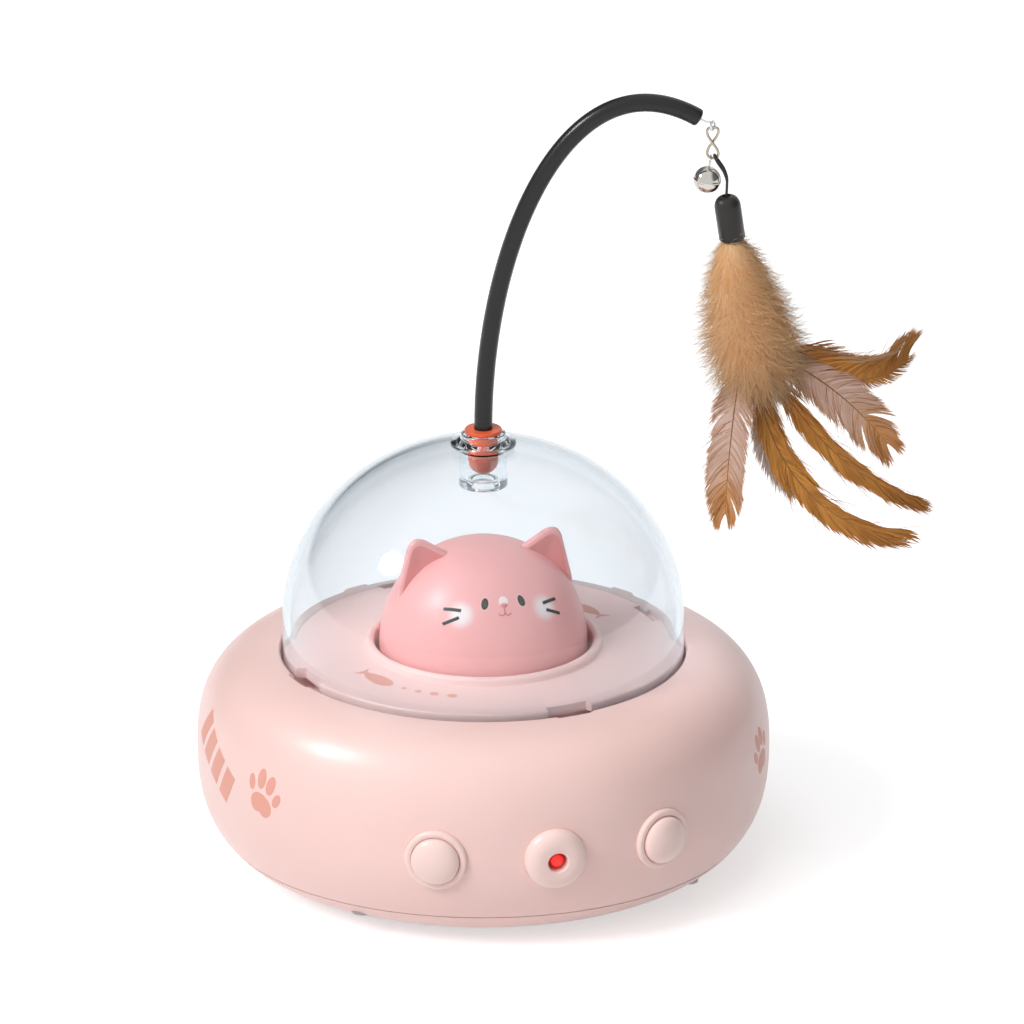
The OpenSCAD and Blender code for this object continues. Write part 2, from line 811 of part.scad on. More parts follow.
module dome() {
    inner_r = dome_r - dome_wall;
    color([0.85, 0.93, 0.97, 0.35])
    union() {
        difference() {
            rotate_extrude($fn = 128)
                polygon(concat([[inner_r, dome_foot_z], [dome_r, dome_foot_z]], dome_curve(0),
                    [for (i = [2 * curve_steps:-1:0]) dome_curve(dome_wall)[i]]));
            cylinder_between(socket_r + shaft_play, disc_z + dome_h / 2, dome_top + 1);
        }
        for (k = [0:3])
            rotate([0, 0, notch_first + lock_turn + 90 * k - tab_angle / 2])
                rotate_extrude(angle = tab_angle, $fn = 128)
                    translate([inner_r - tab_reach, dome_foot_z + 0.2])
                        square([tab_reach + dome_wall / 2, tab_t]);
    }
}

module rod_socket() {
    flange_r = 8.6;
    collar = socket_r - 0.4;
    color([0.88, 0.94, 0.97, 0.4])
    rotate_extrude()
        polygon([[2.9, socket_bottom], [socket_r - 0.8, socket_bottom], [socket_r, socket_bottom + 0.8],
            [socket_r, dome_top + 0.02], [flange_r, dome_top + 0.02], [flange_r, dome_top + 0.5],
            [collar, dome_top + 1.7], [collar, socket_top - 0.5], [collar - 0.5, socket_top],
            [socket_bore, socket_top], [socket_bore, socket_bottom + socket_floor],
            [2.9, socket_bottom + socket_floor]]);
}

// Teaser rod, drawn in the upright plane that the rod bends in
module rod_plane() {
    rotate([0, 0, rod_turn])
        children();
}

module rod_plug() {
    color("#e8552f")
    difference() {
        rotate_extrude()
            polygon(concat([for (i = [0:8]) [plug_r * sin(90 * i / 8),
                    plug_bottom + plug_r - plug_r * cos(90 * i / 8)]],
                [[plug_r, socket_top + 0.02], [plug_cap_r, socket_top + 0.02],
                    [plug_cap_r, socket_top + plug_cap_t], [0, socket_top + plug_cap_t]]));
        cylinder_between(rod_bore, rod_foot_z, socket_top + plug_cap_t + 1);
    }
}

rod_start = [0, 0, socket_top + plug_cap_t];
rod_end = [rod_reach, 0, socket_top + rod_rise];
rod_bend = [rod_start, rod_start + [0, 0, 0.62 * rod_rise],
    rod_end + [-0.58 * rod_reach, 0, 0.23 * rod_rise], rod_end];
rod_path = concat([[0, 0, rod_foot_z]], bezier_path(rod_bend, 30));
rod_heading = unit(rod_end - rod_bend[2]);
depth_axis = [0, 1, 0];

module rod_sleeve() {
    color("#2b2c2e")
    rod_plane()
        pipe(rod_path, rod_r, wire_r + 0.05, 12, depth_axis);
}

// Wire through the rod, ending in an eye
eye_r = 1.2;
eye_wire = 0.3;
eye_at = rod_end + [3.3, 0, -1.9];
eye_turn = 65;

module rod_wire() {
    eye_side = eye_at + eye_r * [-0.35, 0, 0.94];
    color("#c3c7cb")
    rod_plane() {
        bar(concat(rod_path, [rod_end + 0.8 * rod_heading, eye_side]), wire_r, 8, depth_axis);
        translate(eye_at)
            rotate([0, 0, eye_turn])
                rotate([90, 0, 0])
                    rotate_extrude($fn = 32)
                        translate([eye_r, 0])
                            circle(r = eye_wire, $fn = 16);
    }
}

// Twisted link that hangs in the eye
link_w = 1.5;
link_depth = 0.46;
link_steps = 40;
link_gap = 0.15;
link_mid = eye_at - [0, 0, eye_r - eye_wire - link_wire + link_h - link_gap];
link_foot_z = link_mid[2] - link_h;

module link() {
    color("#b6a58f")
    rod_plane()
        bar([for (i = [0:link_steps - 1]) let (t = 360 * i / link_steps)
            link_mid + [link_w * sin(2 * t), link_depth * sin(t), link_h * cos(t)]],
            link_wire, 8, depth_axis, true);
}

// Jingle bell, with its loop round the foot of the link and a loose ball inside
hang_gap = 0.15;
bell_loop_r = 1.7;
bell_loop_wire = 0.22;
bell_wall = 0.45;
bell_ball_r = 1.1;
bell_tilt = 8;
bell_hang = [link_mid[0] - 0.45, 0, link_foot_z + link_wire + bell_loop_wire + hang_gap];
bell_drop = 2 * bell_loop_r + bell_r - 0.2;

module bell_place() {
    rod_plane()
        translate(bell_hang)
            rotate([0, bell_tilt, 0])
                children();
}

module bell() {
    color("#d5d7da")
    bell_place() {
        translate([0, 0, -bell_loop_r])
            rotate([0, 90, 0])
                rotate_extrude($fn = 40)
                    translate([bell_loop_r, 0])
                        circle(r = bell_loop_wire, $fn = 16);
        translate([0, 0, -bell_drop])
            difference() {
                sphere(r = bell_r, $fn = 48);
                sphere(r = bell_r - bell_wall, $fn = 48);
                translate([-bell_r, -0.45, -bell_r - 1])
                    cube([2 * bell_r, 0.9, bell_r]);
            }
    }
}

module bell_ball() {
    color("#9c9fa3")
    bell_place()
        translate([0, 0, -bell_drop - bell_r + bell_wall + bell_ball_r + 0.1])
            sphere(r = bell_ball_r, $fn = 32);
}

// Cord loop, as half of its route in the rod's plane: sideways from the link, depth, drop from the link's foot
cord_top = [link_mid[0] + 0.4, 0, link_foot_z + link_wire + cord_r + hang_gap];
cord_half = [[3.4, -0.5, -13], [3.2, -0.5, -11.2], [3.3, -0.8, -9], [3.3, -1.2, -6.6], [2.4, -1.4, -4],
    [0.9, -1.35, -1.7], [0.2, -0.95, -0.4]];
cord_front = [for (p = cord_half) cord_top + p];
cord_back = [for (i = [len(cord_half) - 1:-1:0]) cord_top + [cord_half[i][0], -cord_half[i][1], cord_half[i][2]]];

module lure_cord() {
    color("#17181a")
    rod_plane()
        bar(concat(cord_front, [cord_top], cord_back), cord_r, 8, [1, 0, 0.2]);
}

// Cap over the roots of the feathers, tipped as it hangs
cap_tilt = 8;
cap_at = cord_top + [3.1, 0, -11.3];

module cap_place() {
    rod_plane()
        translate(cap_at)
            rotate([0, -cap_tilt, 0])
                children();
}

module feather_cap() {
    color("#242527")
    cap_place()
        difference() {
            rotate_extrude()
                polygon(concat([[0, -cap_h], [cap_r, -cap_h], [cap_r, -3]],
                    [for (i = [1:8]) [1.2 + (cap_r - 1.2) * cos(90 * i / 8), -3 + 3 * sin(90 * i / 8)]],
                    [[0, 0]]));
            cylinder_between(1.15, -3, 1);
        }
}

// Fluff round the quills, swelling away from the cap and leaning as it hangs
fluff_steps = [0, 0.08, 0.2, 0.38, 0.56, 0.74, 0.9, 1];
fluff_swell = [0.28, 0.45, 0.66, 0.84, 0.96, 1, 0.82, 0.45];
fluff_gap = 0.02;
fluff_path = [for (s = fluff_steps) [fluff_lean * pow(s, 2.5), 0, -cap_h - fluff_gap - fluff_len * s]];

module fluff() {
    color("#d9a877")
    cap_place()
        bar(fluff_path, [for (s = fluff_swell) s * fluff_r], 14, depth_axis);
}

// Feathers: four control points from their root in the fluff, as sideways, depth and rise, and a half width
root_up = 8;
feather_root = cap_at + [8, 0, -cap_h - fluff_len + root_up];
feather_curves = [
    [[[10, 2.4, 0.1], [20, 4, -10.5], [34, 6, -15.3], [43, 8, 0.9]], 4.6],
    [[[7, 1.2, -2.5], [16, 2, -7.8], [26, 3, -15.2], [35, 4, -28.5]], 6.2],
    [[[5, -0.1, -6], [12, -0.4, -21.8], [27, -0.8, -37.7], [46, -1.2, -42.5]], 4.2],
    [[[0, -1.6, -5.4], [2, -3, -24.8], [13, -4.6, -48.2], [40, -6.5, -49.5]], 4.8],
    [[[-4, -3.4, -2.7], [-6, -5, -16.1], [-7.5, -6.4, -29.5], [-8, -7.6, -44.1]], 6.4],
    [[[2, 3.6, -7.4], [1, 5.4, -18.1], [3, 7, -29.7], [10, 8.6, -41.3]], 4.4]];

module feather(k) {
    tints = ["#a86f2c", "#b98a68", "#a9682a", "#a0621f", "#b3805a", "#d8c3b6"];
    color(tints[k])
    rod_plane()
        translate(feather_root)
            blade(bezier_path(feather_curves[k][0], 12), feather_curves[k][1], feather_t);
}

upper_shell();
base_cover();
rubber_feet();
base_screws();
deck();
deck_screws();
thrust_washer();
post_clip();
cat_head();
motor();
gear_pin();
battery();
control_board();
usb_port();
laser_bezel();
laser_module();
laser_lens();
mode_bezel();
power_bezel();
mode_switch();
power_switch();
mode_button();
power_button();
motor_shaft();
motor_pinion();
reduction_gear();
turntable();
drive_gear();
dome();
rod_socket();
rod_plug();
rod_sleeve();
rod_wire();
link();
bell();
bell_ball();
lure_cord();
feather_cap();
fluff();
feather(0);  // feather_1
feather(1);  // feather_2
feather(2);  // feather_3
feather(3);  // feather_4
feather(4);  // feather_5
feather(5);  // feather_6
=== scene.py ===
# %% [markdown]
# # A saucer cat teaser with a clear dome
# The toy is a pink saucer with a cat's head under a clear dome. A bent rubber rod stands on the dome and
# carries a link, a jingle bell and a bunch of feathers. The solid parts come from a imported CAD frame, and
# this lesson dresses them: smooth moulded shells, clear plastic, printed motifs, fur and feathers.

# %% Load the frame
import json
import math

import bmesh
import bpy
from mathutils import Matrix, Vector


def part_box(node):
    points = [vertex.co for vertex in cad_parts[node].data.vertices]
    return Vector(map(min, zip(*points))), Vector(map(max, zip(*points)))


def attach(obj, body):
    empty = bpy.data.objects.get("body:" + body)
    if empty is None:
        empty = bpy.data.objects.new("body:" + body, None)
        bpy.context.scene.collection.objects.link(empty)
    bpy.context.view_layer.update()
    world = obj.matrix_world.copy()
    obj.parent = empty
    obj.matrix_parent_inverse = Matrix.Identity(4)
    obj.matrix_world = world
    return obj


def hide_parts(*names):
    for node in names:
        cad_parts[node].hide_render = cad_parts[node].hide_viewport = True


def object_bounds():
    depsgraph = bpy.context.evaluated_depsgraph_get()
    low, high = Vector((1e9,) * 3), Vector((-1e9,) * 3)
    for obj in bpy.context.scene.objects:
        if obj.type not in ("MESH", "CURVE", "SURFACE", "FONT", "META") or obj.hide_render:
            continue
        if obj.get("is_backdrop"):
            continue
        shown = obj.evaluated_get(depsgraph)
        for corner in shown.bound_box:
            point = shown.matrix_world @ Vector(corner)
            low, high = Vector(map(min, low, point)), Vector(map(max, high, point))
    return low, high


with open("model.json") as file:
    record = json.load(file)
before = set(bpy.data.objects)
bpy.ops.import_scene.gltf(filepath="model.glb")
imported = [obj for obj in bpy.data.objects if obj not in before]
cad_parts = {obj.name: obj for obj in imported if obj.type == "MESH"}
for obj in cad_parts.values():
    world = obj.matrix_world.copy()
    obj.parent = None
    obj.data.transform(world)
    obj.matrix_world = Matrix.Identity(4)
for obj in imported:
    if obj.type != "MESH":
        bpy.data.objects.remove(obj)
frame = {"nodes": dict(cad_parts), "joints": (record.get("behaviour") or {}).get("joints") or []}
cad_low, cad_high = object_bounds()
joints = {joint["name"]: joint for joint in frame["joints"]}
mm = 0.001

# %% [markdown]
# ## Camera and studio
# A product picture is taken with a long lens from far away, so circles stay nearly true ellipses. The
# camera aims at a point a little above and to the right of the saucer's face, which centres the whole toy.

# %% Camera
view_turn = math.radians(-14.5)
view_rise = math.radians(21)
view_distance = 9.0
view_lens = 1208
face_middle = Vector((0, 0, 60.4 * mm))
aim_side = 7.5 * mm
aim_up = 34.4 * mm

to_right = Vector((math.cos(view_turn), math.sin(view_turn), 0))
to_camera = Vector((
    math.sin(view_turn) * math.cos(view_rise),
    -math.cos(view_turn) * math.cos(view_rise),
    math.sin(view_rise),
))
to_top = to_camera.cross(to_right)
camera = bpy.data.objects.new("camera", bpy.data.cameras.new("camera"))
bpy.context.scene.collection.objects.link(camera)
camera.data.lens = view_lens
camera.data.clip_end = 40
camera.location = face_middle + aim_side * to_right + aim_up * to_top + view_distance * to_camera
camera.rotation_mode = "QUATERNION"
camera.rotation_quaternion = (-to_camera).to_track_quat("-Z", "Y")
bpy.context.scene.camera = camera
bpy.context.scene.view_settings.view_transform = "Standard"
print("camera at", [round(x, 3) for x in camera.location])


# %% [markdown]
# ## Small helpers for nodes
# Shader trees and Geometry Nodes trees are both made of nodes and links, so the same short helpers serve
# both. They set plain values on sockets and link the sockets that are handed to them.

# %% Node helper
def feed(tree, socket, value):
    """Links a socket to another one, or gives it a plain value."""
    if isinstance(value, bpy.types.NodeSocket):
        tree.links.new(value, socket)
    else:
        socket.default_value = value


def feed_all(tree, node, values):
    for key, value in values.items():
        feed(tree, node.inputs[key], value)


def add_node(tree, kind, inputs=None, **settings):
    made = tree.nodes.new(kind)
    for name, value in settings.items():
        setattr(made, name, value)
    feed_all(tree, made, inputs or {})
    return made


def math_node(tree, operation, *values):
    return add_node(tree, "ShaderNodeMath", dict(enumerate(values)), operation=operation).outputs[0]


def plus(tree, first, second):
    return math_node(tree, "ADD", first, second)


def minus(tree, first, second):
    return math_node(tree, "SUBTRACT", first, second)


def times(tree, first, second):
    return math_node(tree, "MULTIPLY", first, second)


def vector_node(tree, operation, *values):
    made = add_node(tree, "ShaderNodeVectorMath", dict(enumerate(values)), operation=operation)
    return made.outputs["Value" if operation in ("DISTANCE", "DOT_PRODUCT", "LENGTH") else "Vector"]


def mix_colour(tree, share, first, second):
    return add_node(tree, "ShaderNodeMix", {0: share, 6: first, 7: second}, data_type="RGBA").outputs[2]


def new_finish(name):
    material = bpy.data.materials.new(name)
    material.use_nodes = True
    return material, material.node_tree, material.node_tree.nodes["Principled BSDF"]


def step_between(tree, value, low, high, start=0.0, end=1.0):
    """A smooth step of a value from one number to another."""
    made = add_node(
        tree,
        "ShaderNodeMapRange",
        {"Value": value, "From Min": low, "From Max": high, "To Min": start, "To Max": end},
        interpolation_type="SMOOTHSTEP",
    )
    return made.outputs["Result"]


# %% [markdown]
# ## The studio
# The floor and the surroundings are pale. Lamps and world together light the toy at a plain level, and a
# little extra brightness that only the camera, mirrors and glass can see makes the floor white. The main
# lamp is a soft sun from the left. Panels in front and above fill the shadows, a faint one edges the right
# side, and a small round lamp only gives the dome and the satin plastic a highlight.

# %% Floor, world and lamps
def seen_directly(tree):
    """1 for rays from the camera, from mirrors and through glass, and 0 for rays that light things."""
    path = add_node(tree, "ShaderNodeLightPath")
    seen = math_node(tree, "MAXIMUM", path.outputs["Is Camera Ray"], path.outputs["Is Glossy Ray"])
    return math_node(tree, "MAXIMUM", seen, path.outputs["Is Transmission Ray"])


def studio_floor():
    half, sink, glow_level = 9.0, 0.2 * mm, 0.56
    mesh = bpy.data.meshes.new("floor")
    corners = [(-half, -half, 0), (half, -half, 0), (half, half, 0), (-half, half, 0)]
    mesh.from_pydata([Vector(c) - Vector((0, 0, sink)) for c in corners], [], [(0, 1, 2, 3)])
    floor = bpy.data.objects.new("floor", mesh)
    bpy.context.scene.collection.objects.link(floor)
    material, tree, shader = new_finish("floor_paper")
    feed_all(tree, shader, {
        "Base Color": (0.82, 0.82, 0.825, 1), "Roughness": 0.9, "Specular IOR Level": 0.1,
    })
    glow = add_node(tree, "ShaderNodeEmission", {
        "Color": (1, 1, 1, 1), "Strength": times(tree, seen_directly(tree), glow_level),
    })
    both = add_node(tree, "ShaderNodeAddShader", {0: shader.outputs[0], 1: glow.outputs[0]})
    tree.links.new(both.outputs[0], tree.nodes["Material Output"].inputs["Surface"])
    mesh.materials.append(material)
    floor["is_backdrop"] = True


def studio_world():
    """A pale room with two darker walls, which give metal and clear plastic something to mirror."""
    world = bpy.data.worlds.new("studio")
    bpy.context.scene.world = world
    world.use_nodes = True
    tree = world.node_tree
    tree.nodes["Background"].inputs["Color"].default_value = (0.97, 0.985, 1, 1)
    way = add_node(tree, "ShaderNodeTexCoord").outputs["Generated"]
    lit_level, seen_level, dark_share = 0.36, 1.0, 0.2
    strength = step_between(tree, seen_directly(tree), 0, 1, lit_level, seen_level)
    for wall in (to_right + Vector((0, 0, 0.25)), -to_right - to_camera + Vector((0, 0, 0.7))):
        facing = vector_node(tree, "DOT_PRODUCT", way, tuple(wall.normalized()))
        strength = times(tree, strength, step_between(tree, facing, 0.58, 0.9, 1.0, dark_share))
    tree.links.new(strength, tree.nodes["Background"].inputs["Strength"])


def lamp(name, kind, direction, power, **settings):
    """A lamp that shines on the toy from a direction given as right, up and towards the camera.

    A lamp that isn't mirrored only lights, and one that doesn't light only gives highlights.
    """
    data = bpy.data.lights.new(name, kind)
    data.energy = power
    distance = settings.pop("distance", 1.0)
    mirrored = settings.pop("mirrored", True)
    lights = settings.pop("lights", True)
    for key, value in settings.items():
        setattr(data, key, value)
    made = bpy.data.objects.new(name, data)
    bpy.context.scene.collection.objects.link(made)
    level_back = Vector((to_camera.x, to_camera.y, 0)).normalized()
    way = direction[0] * to_right + direction[1] * Vector((0, 0, 1)) + direction[2] * level_back
    made.location = face_middle + distance * way.normalized()
    made.rotation_mode = "QUATERNION"
    made.rotation_quaternion = (-way).to_track_quat("-Z", "Y")
    made.visible_glossy = mirrored
    made.visible_transmission = mirrored
    made.visible_diffuse = lights


studio_floor()
studio_world()
lamp("key_sun", "SUN", (-1.0, 1.0, 0.75), 1.5, angle=math.radians(22), mirrored=False)
lamp("left_lamp", "AREA", (-0.86, 0.80, 0.18), 3.4, distance=0.9, shape="DISK", size=0.2, lights=False)
lamp("front_panel", "AREA", (-0.4, 0.7, 1.2), 2.2, distance=1.4, shape="SQUARE", size=1.2, mirrored=False)
lamp("top_panel", "AREA", (-0.15, 1.0, 0.3), 4.6, distance=1.2, shape="SQUARE", size=0.8, mirrored=False)
lamp("right_panel", "AREA", (1.2, 0.8, -0.6), 0.2, distance=1.0, shape="RECTANGLE", size=0.3, size_y=0.8)
print("studio: a sun, a round lamp, three panels and a pale room")


# %% [markdown]
# ## Finishes
# Every finish is a node tree. Moulded plastic is a smooth colour with a faint cloud in it, a roughness that
# wanders a little, and a very fine grain left by the mould. All patterns read Object coordinates, so they
# keep their real size on every piece.

# %% Plastic
def object_coords(tree):
    return add_node(tree, "ShaderNodeTexCoord").outputs["Object"]


def noise(tree, coords, size, detail=2.0):
    """A noise whose features are about as large as size, in metres."""
    made = add_node(
        tree, "ShaderNodeTexNoise", {"Vector": coords, "Scale": 1 / size, "Detail": detail, "Roughness": 0.5}
    )
    return made.outputs[0]


def shade(colour, by):
    return tuple(min(1, c * by) for c in colour[:3]) + (1,)


def moulded(name, colour, roughness=0.42, cloud=0.035, grain=0.004 * mm, coat=0.0, gloss=0.5):
    """Moulded plastic or rubber."""
    material, tree, shader = new_finish(name)
    coords = object_coords(tree)
    clouds, patches, fine = (noise(tree, coords, *size) for size in ((30 * mm,), (6 * mm,), (0.45 * mm, 3)))
    wander = 0.04
    feed_all(tree, shader, {
        "Base Color": mix_colour(tree, clouds, shade(colour, 1 - cloud), shade(colour, 1 + cloud)),
        "Roughness": step_between(tree, patches, 0.3, 0.7, roughness - wander, roughness + wander),
        "Coat Weight": coat, "Specular IOR Level": gloss, "Coat Roughness": 0.25,
    })
    bump = add_node(tree, "ShaderNodeBump", {
        "Height": fine, "Strength": 1.0, "Distance": grain,
    })
    tree.links.new(bump.outputs[0], shader.inputs["Normal"])
    return material


def metal(name, colour, roughness, streak=0.05):
    """Wire and pressed metal, with faint drawing marks."""
    material, tree, shader = new_finish(name)
    marks = noise(tree, object_coords(tree), 0.5 * mm, 3)
    feed_all(tree, shader, {
        "Metallic": 1, "Base Color": mix_colour(tree, marks, shade(colour, 0.9), shade(colour, 1.08)),
        "Roughness": step_between(tree, marks, 0.3, 0.7, max(0.02, roughness - streak), roughness + streak),
    })
    return material


# %% [markdown]
# ## Clear plastic
# The dome and the rod's socket are clear. Real clear plastic bends light and tints it a little, most where
# the eye looks through a lot of it, so the tint is a volume that takes away red. Rays from lamps pass
# straight through, because glass would otherwise keep the soft light off what is inside.

# %% Clear finish
def clear_plastic(name, tint, density):
    material, tree, shader = new_finish(name)
    feed_all(tree, shader, {
        "Base Color": (1, 1, 1, 1), "Roughness": 0.0, "IOR": 1.47, "Transmission Weight": 1,
    })
    through = add_node(tree, "ShaderNodeBsdfTransparent", {"Color": (1, 1, 1, 1)})
    path = add_node(tree, "ShaderNodeLightPath")
    mixed = add_node(
        tree,
        "ShaderNodeMixShader",
        {0: path.outputs["Is Shadow Ray"], 1: shader.outputs[0], 2: through.outputs[0]},
    )
    output = tree.nodes["Material Output"]
    tree.links.new(mixed.outputs[0], output.inputs["Surface"])
    volume = add_node(tree, "ShaderNodeVolumeAbsorption", {"Color": tint, "Density": density})
    tree.links.new(volume.outputs[0], output.inputs["Volume"])
    return material


# %% The palette
pink_shell = moulded("pink_shell", (0.92, 0.635, 0.59), 0.36, coat=0.12)
pink_disc = moulded("pink_disc", (0.95, 0.65, 0.60), 0.44)
pink_trim = moulded("pink_trim", (0.92, 0.68, 0.63), 0.34, coat=0.2)
print_ink = moulded("print_ink", (0.80, 0.37, 0.29), 0.5, grain=0.002 * mm)
black_rubber = moulded("black_rubber", (0.010, 0.010, 0.011), 0.28, 0.08, 0.004 * mm, coat=0.15, gloss=0.3)
cap_rubber = moulded("cap_rubber", (0.024, 0.021, 0.019), 0.40, 0.25, 0.01 * mm, coat=0.1, gloss=0.3)
grey_rubber = moulded("grey_rubber", (0.22, 0.21, 0.20), 0.7, 0.08, 0.012 * mm)
orange_rubber = moulded("orange_rubber", (0.80, 0.12, 0.035), 0.40, 0.06, coat=0.2)
white_plastic = moulded("white_plastic", (0.84, 0.83, 0.79), 0.42)
black_plastic = moulded("black_plastic", (0.035, 0.035, 0.037), 0.45)
board_green = moulded("board_green", (0.02, 0.16, 0.06), 0.35)
battery_wrap = moulded("battery_wrap", (0.05, 0.12, 0.36), 0.3, coat=0.3)
black_cord = moulded("black_cord", (0.012, 0.012, 0.013), 0.55, 0.2, 0.02 * mm)
dark_steel = metal("dark_steel", (0.30, 0.28, 0.27), 0.4)
steel = metal("steel", (0.72, 0.73, 0.75), 0.24)
nickel_wire = metal("nickel_wire", (0.50, 0.44, 0.36), 0.30)
chrome_bell = metal("chrome_bell", (0.60, 0.56, 0.52), 0.10, 0.03)
brass = metal("brass", (0.78, 0.56, 0.24), 0.28)
clear_dome = clear_plastic("clear_plastic", (0.53, 0.65, 0.73, 1), 138)
clear_socket = clear_plastic("clear_socket", (0.75, 0.90, 0.98, 1), 40)
print("palette:", len(bpy.data.materials), "finishes")


# %% [markdown]
# ## Turned and swept forms
# Most of the toy is turned or swept: a profile spun round an axis, or a circle pushed along a path. Both are
# made point by point here, because the saucer's own curve is a formula and the pieces must keep CAD sizes.

# %% Mesh helpers
def finished(name, mesh, material, body, slot, *replaced):
    """Makes an object of a mesh, dresses it and lets it ride on its body."""
    piece = bpy.data.objects.new(name, mesh)
    bpy.context.scene.collection.objects.link(piece)
    if material is not None:
        mesh.materials.append(material)
    register(piece, body, slot, *replaced)
    return piece


def register(piece, body, slot, *replaced):
    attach(piece, body)
    if replaced:
        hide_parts(*replaced)


def closed_mesh(name, points, faces, smooth=True):
    mesh = bpy.data.meshes.new(name)
    mesh.from_pydata([tuple(p) for p in points], [], faces)
    work = bmesh.new()
    work.from_mesh(mesh)
    bmesh.ops.remove_doubles(work, verts=work.verts, dist=1e-7)
    bmesh.ops.recalc_face_normals(work, faces=work.faces)
    work.to_mesh(mesh)
    work.free()
    mesh.polygons.foreach_set("use_smooth", [smooth] * len(mesh.polygons))
    return mesh


def in_mm(profile):
    return [(r * mm, z * mm) for r, z in profile]


def arc(centre, radius, start, end, steps=8, high=None):
    """Points of an arc in a profile, angles in degrees. high is an oval's other radius."""
    turns = [math.radians(start + (end - start) * k / steps) for k in range(steps + 1)]
    high = radius if high is None else high
    return [(centre[0] + radius * math.cos(t), centre[1] + high * math.sin(t)) for t in turns]


def bulge(edge, wide, foot, high, power, start=0, end=90, steps=44):
    """Points of a quarter of a full ellipse in a profile, out from edge by wide and up from foot by high."""
    turns = [math.radians(start + (end - start) * k / steps) for k in range(steps + 1)]
    return [(
        edge + wide * max(0, math.cos(t)) ** (2 / power), foot + high * math.sin(t) ** (2 / power)
    ) for t in turns]


def corner(first, here, last, steps):
    """A bend from one point to another, drawn towards the corner between them."""
    shares = [s / steps for s in range(steps + 1)]
    return [(1 - t) ** 2 * first + 2 * t * (1 - t) * here + t * t * last for t in shares]


def round_trip(count, place):
    """Points of a closed path: what place makes of equal steps of a full turn."""
    return [place(2 * math.pi * k / count) for k in range(count)]


def band(a, b, count):
    """Faces between two rings whose points start at numbers a and b."""
    return [(a + k, b + k, b + (k + 1) % count, a + (k + 1) % count) for k in range(count)]


def fan(middle, ring, count):
    """Faces between a middle point and the ring round it."""
    return [(middle, ring + k, ring + (k + 1) % count) for k in range(count)]


def softened(profile, radius, steps=5):
    """A closed profile whose corners are rounded by radius, or by less where an edge is short."""
    made = []
    count = len(profile)
    for k in range(count):
        before, here, after = (Vector(profile[(k + d) % count]) for d in (-1, 0, 1))
        back, ahead = before - here, after - here
        if here.x < 1e-9 or back.length < 1e-9 or ahead.length < 1e-9:
            made.append(tuple(here))
            continue
        reach = min(radius, 0.45 * back.length, 0.45 * ahead.length)
        first, last = here + back.normalized() * reach, here + ahead.normalized() * reach
        made += [tuple(p) for p in corner(first, here, last, steps)]
    return made


def turned(name, profile, segments=128, place=Matrix()):
    """A solid of a closed profile (radius, height) in metres, spun round Z and then put in place."""
    points, faces, rings = [], [], []
    for radius, height in profile:
        if radius < 1e-9:
            rings.append([len(points)] * segments)
            points.append(Vector((0, 0, height)))
            continue
        rings.append(list(range(len(points), len(points) + segments)))
        for k in range(segments):
            turn = 2 * math.pi * k / segments
            points.append(Vector((radius * math.cos(turn), radius * math.sin(turn), height)))
    for a, b in zip(rings, rings[1:] + rings[:1]):
        for k in range(segments):
            m = (k + 1) % segments
            corners = list(dict.fromkeys((a[k], a[m], b[m], b[k])))
            if len(corners) > 2:
                faces.append(corners)
    return closed_mesh(name, [place @ p for p in points], faces)


def swept(name, path, radii, sides=24, closed=False, across=Vector((0, 0, 1))):
    """A round bar along a path, with one radius or one for each point."""
    count = len(path)
    if not isinstance(radii, list):
        radii = [radii] * count
    points, faces = [], []
    side = across
    for k in range(count):
        ahead = path[(k + 1) % count] if closed else path[min(k + 1, count - 1)]
        behind = path[k - 1] if closed or k > 0 else path[0]
        along = (ahead - behind).normalized()
        side = (side - side.dot(along) * along).normalized()
        other = along.cross(side)
        for s in range(sides):
            turn = 2 * math.pi * s / sides
            points.append(path[k] + radii[k] * (math.cos(turn) * side + math.sin(turn) * other))
    for k in range(count if closed else count - 1):
        a, b = k * sides, ((k + 1) % count) * sides
        for s in range(sides):
            m = (s + 1) % sides
            faces.append((a + s, a + m, b + m, b + s))
    if not closed:
        faces.append(tuple(range(sides))[::-1])
        faces.append(tuple(range((count - 1) * sides, count * sides)))
    return closed_mesh(name, points, faces)


def through(points, per=8, closed=False):
    """A smooth path through points, as Catmull and Rom draw it."""
    count = len(points)
    made = []
    for k in range(count if closed else count - 1):
        if closed:
            p = [points[(k + d) % count] for d in (-1, 0, 1, 2)]
        else:
            p = [points[min(max(k + d, 0), count - 1)] for d in (-1, 0, 1, 2)]
        for s in range(per):
            t = s / per
            made.append(0.5 * (
                2 * p[1]
                + (p[2] - p[0]) * t
                + (2 * p[0] - 5 * p[1] + 4 * p[2] - p[3]) * t ** 2
                + (3 * p[1] - p[0] - 3 * p[2] + p[3]) * t ** 3
            ))
    return made if closed else made + [points[-1]]


def joined(name, meshes):
    """One mesh made of several."""
    work = bmesh.new()
    for mesh in meshes:
        work.from_mesh(mesh)
    made = bpy.data.meshes.new(name)
    work.to_mesh(made)
    work.free()
    return made


def combined(mesh, operation, cutters):
    """The mesh with each cutter joined to it or taken out of it."""
    host = bpy.data.objects.new("host", mesh)
    bpy.context.scene.collection.objects.link(host)
    tools = []
    for cutter in cutters:
        tool = bpy.data.objects.new("tool", cutter)
        bpy.context.scene.collection.objects.link(tool)
        change = host.modifiers.new("cut", "BOOLEAN")
        change.operation = operation
        change.solver = "EXACT"
        change.object = tool
        tools.append(tool)
    graph = bpy.context.evaluated_depsgraph_get()
    made = bpy.data.meshes.new_from_object(host.evaluated_get(graph))
    made.name = mesh.name
    for old in [host] + tools:
        bpy.data.objects.remove(old)
    return made


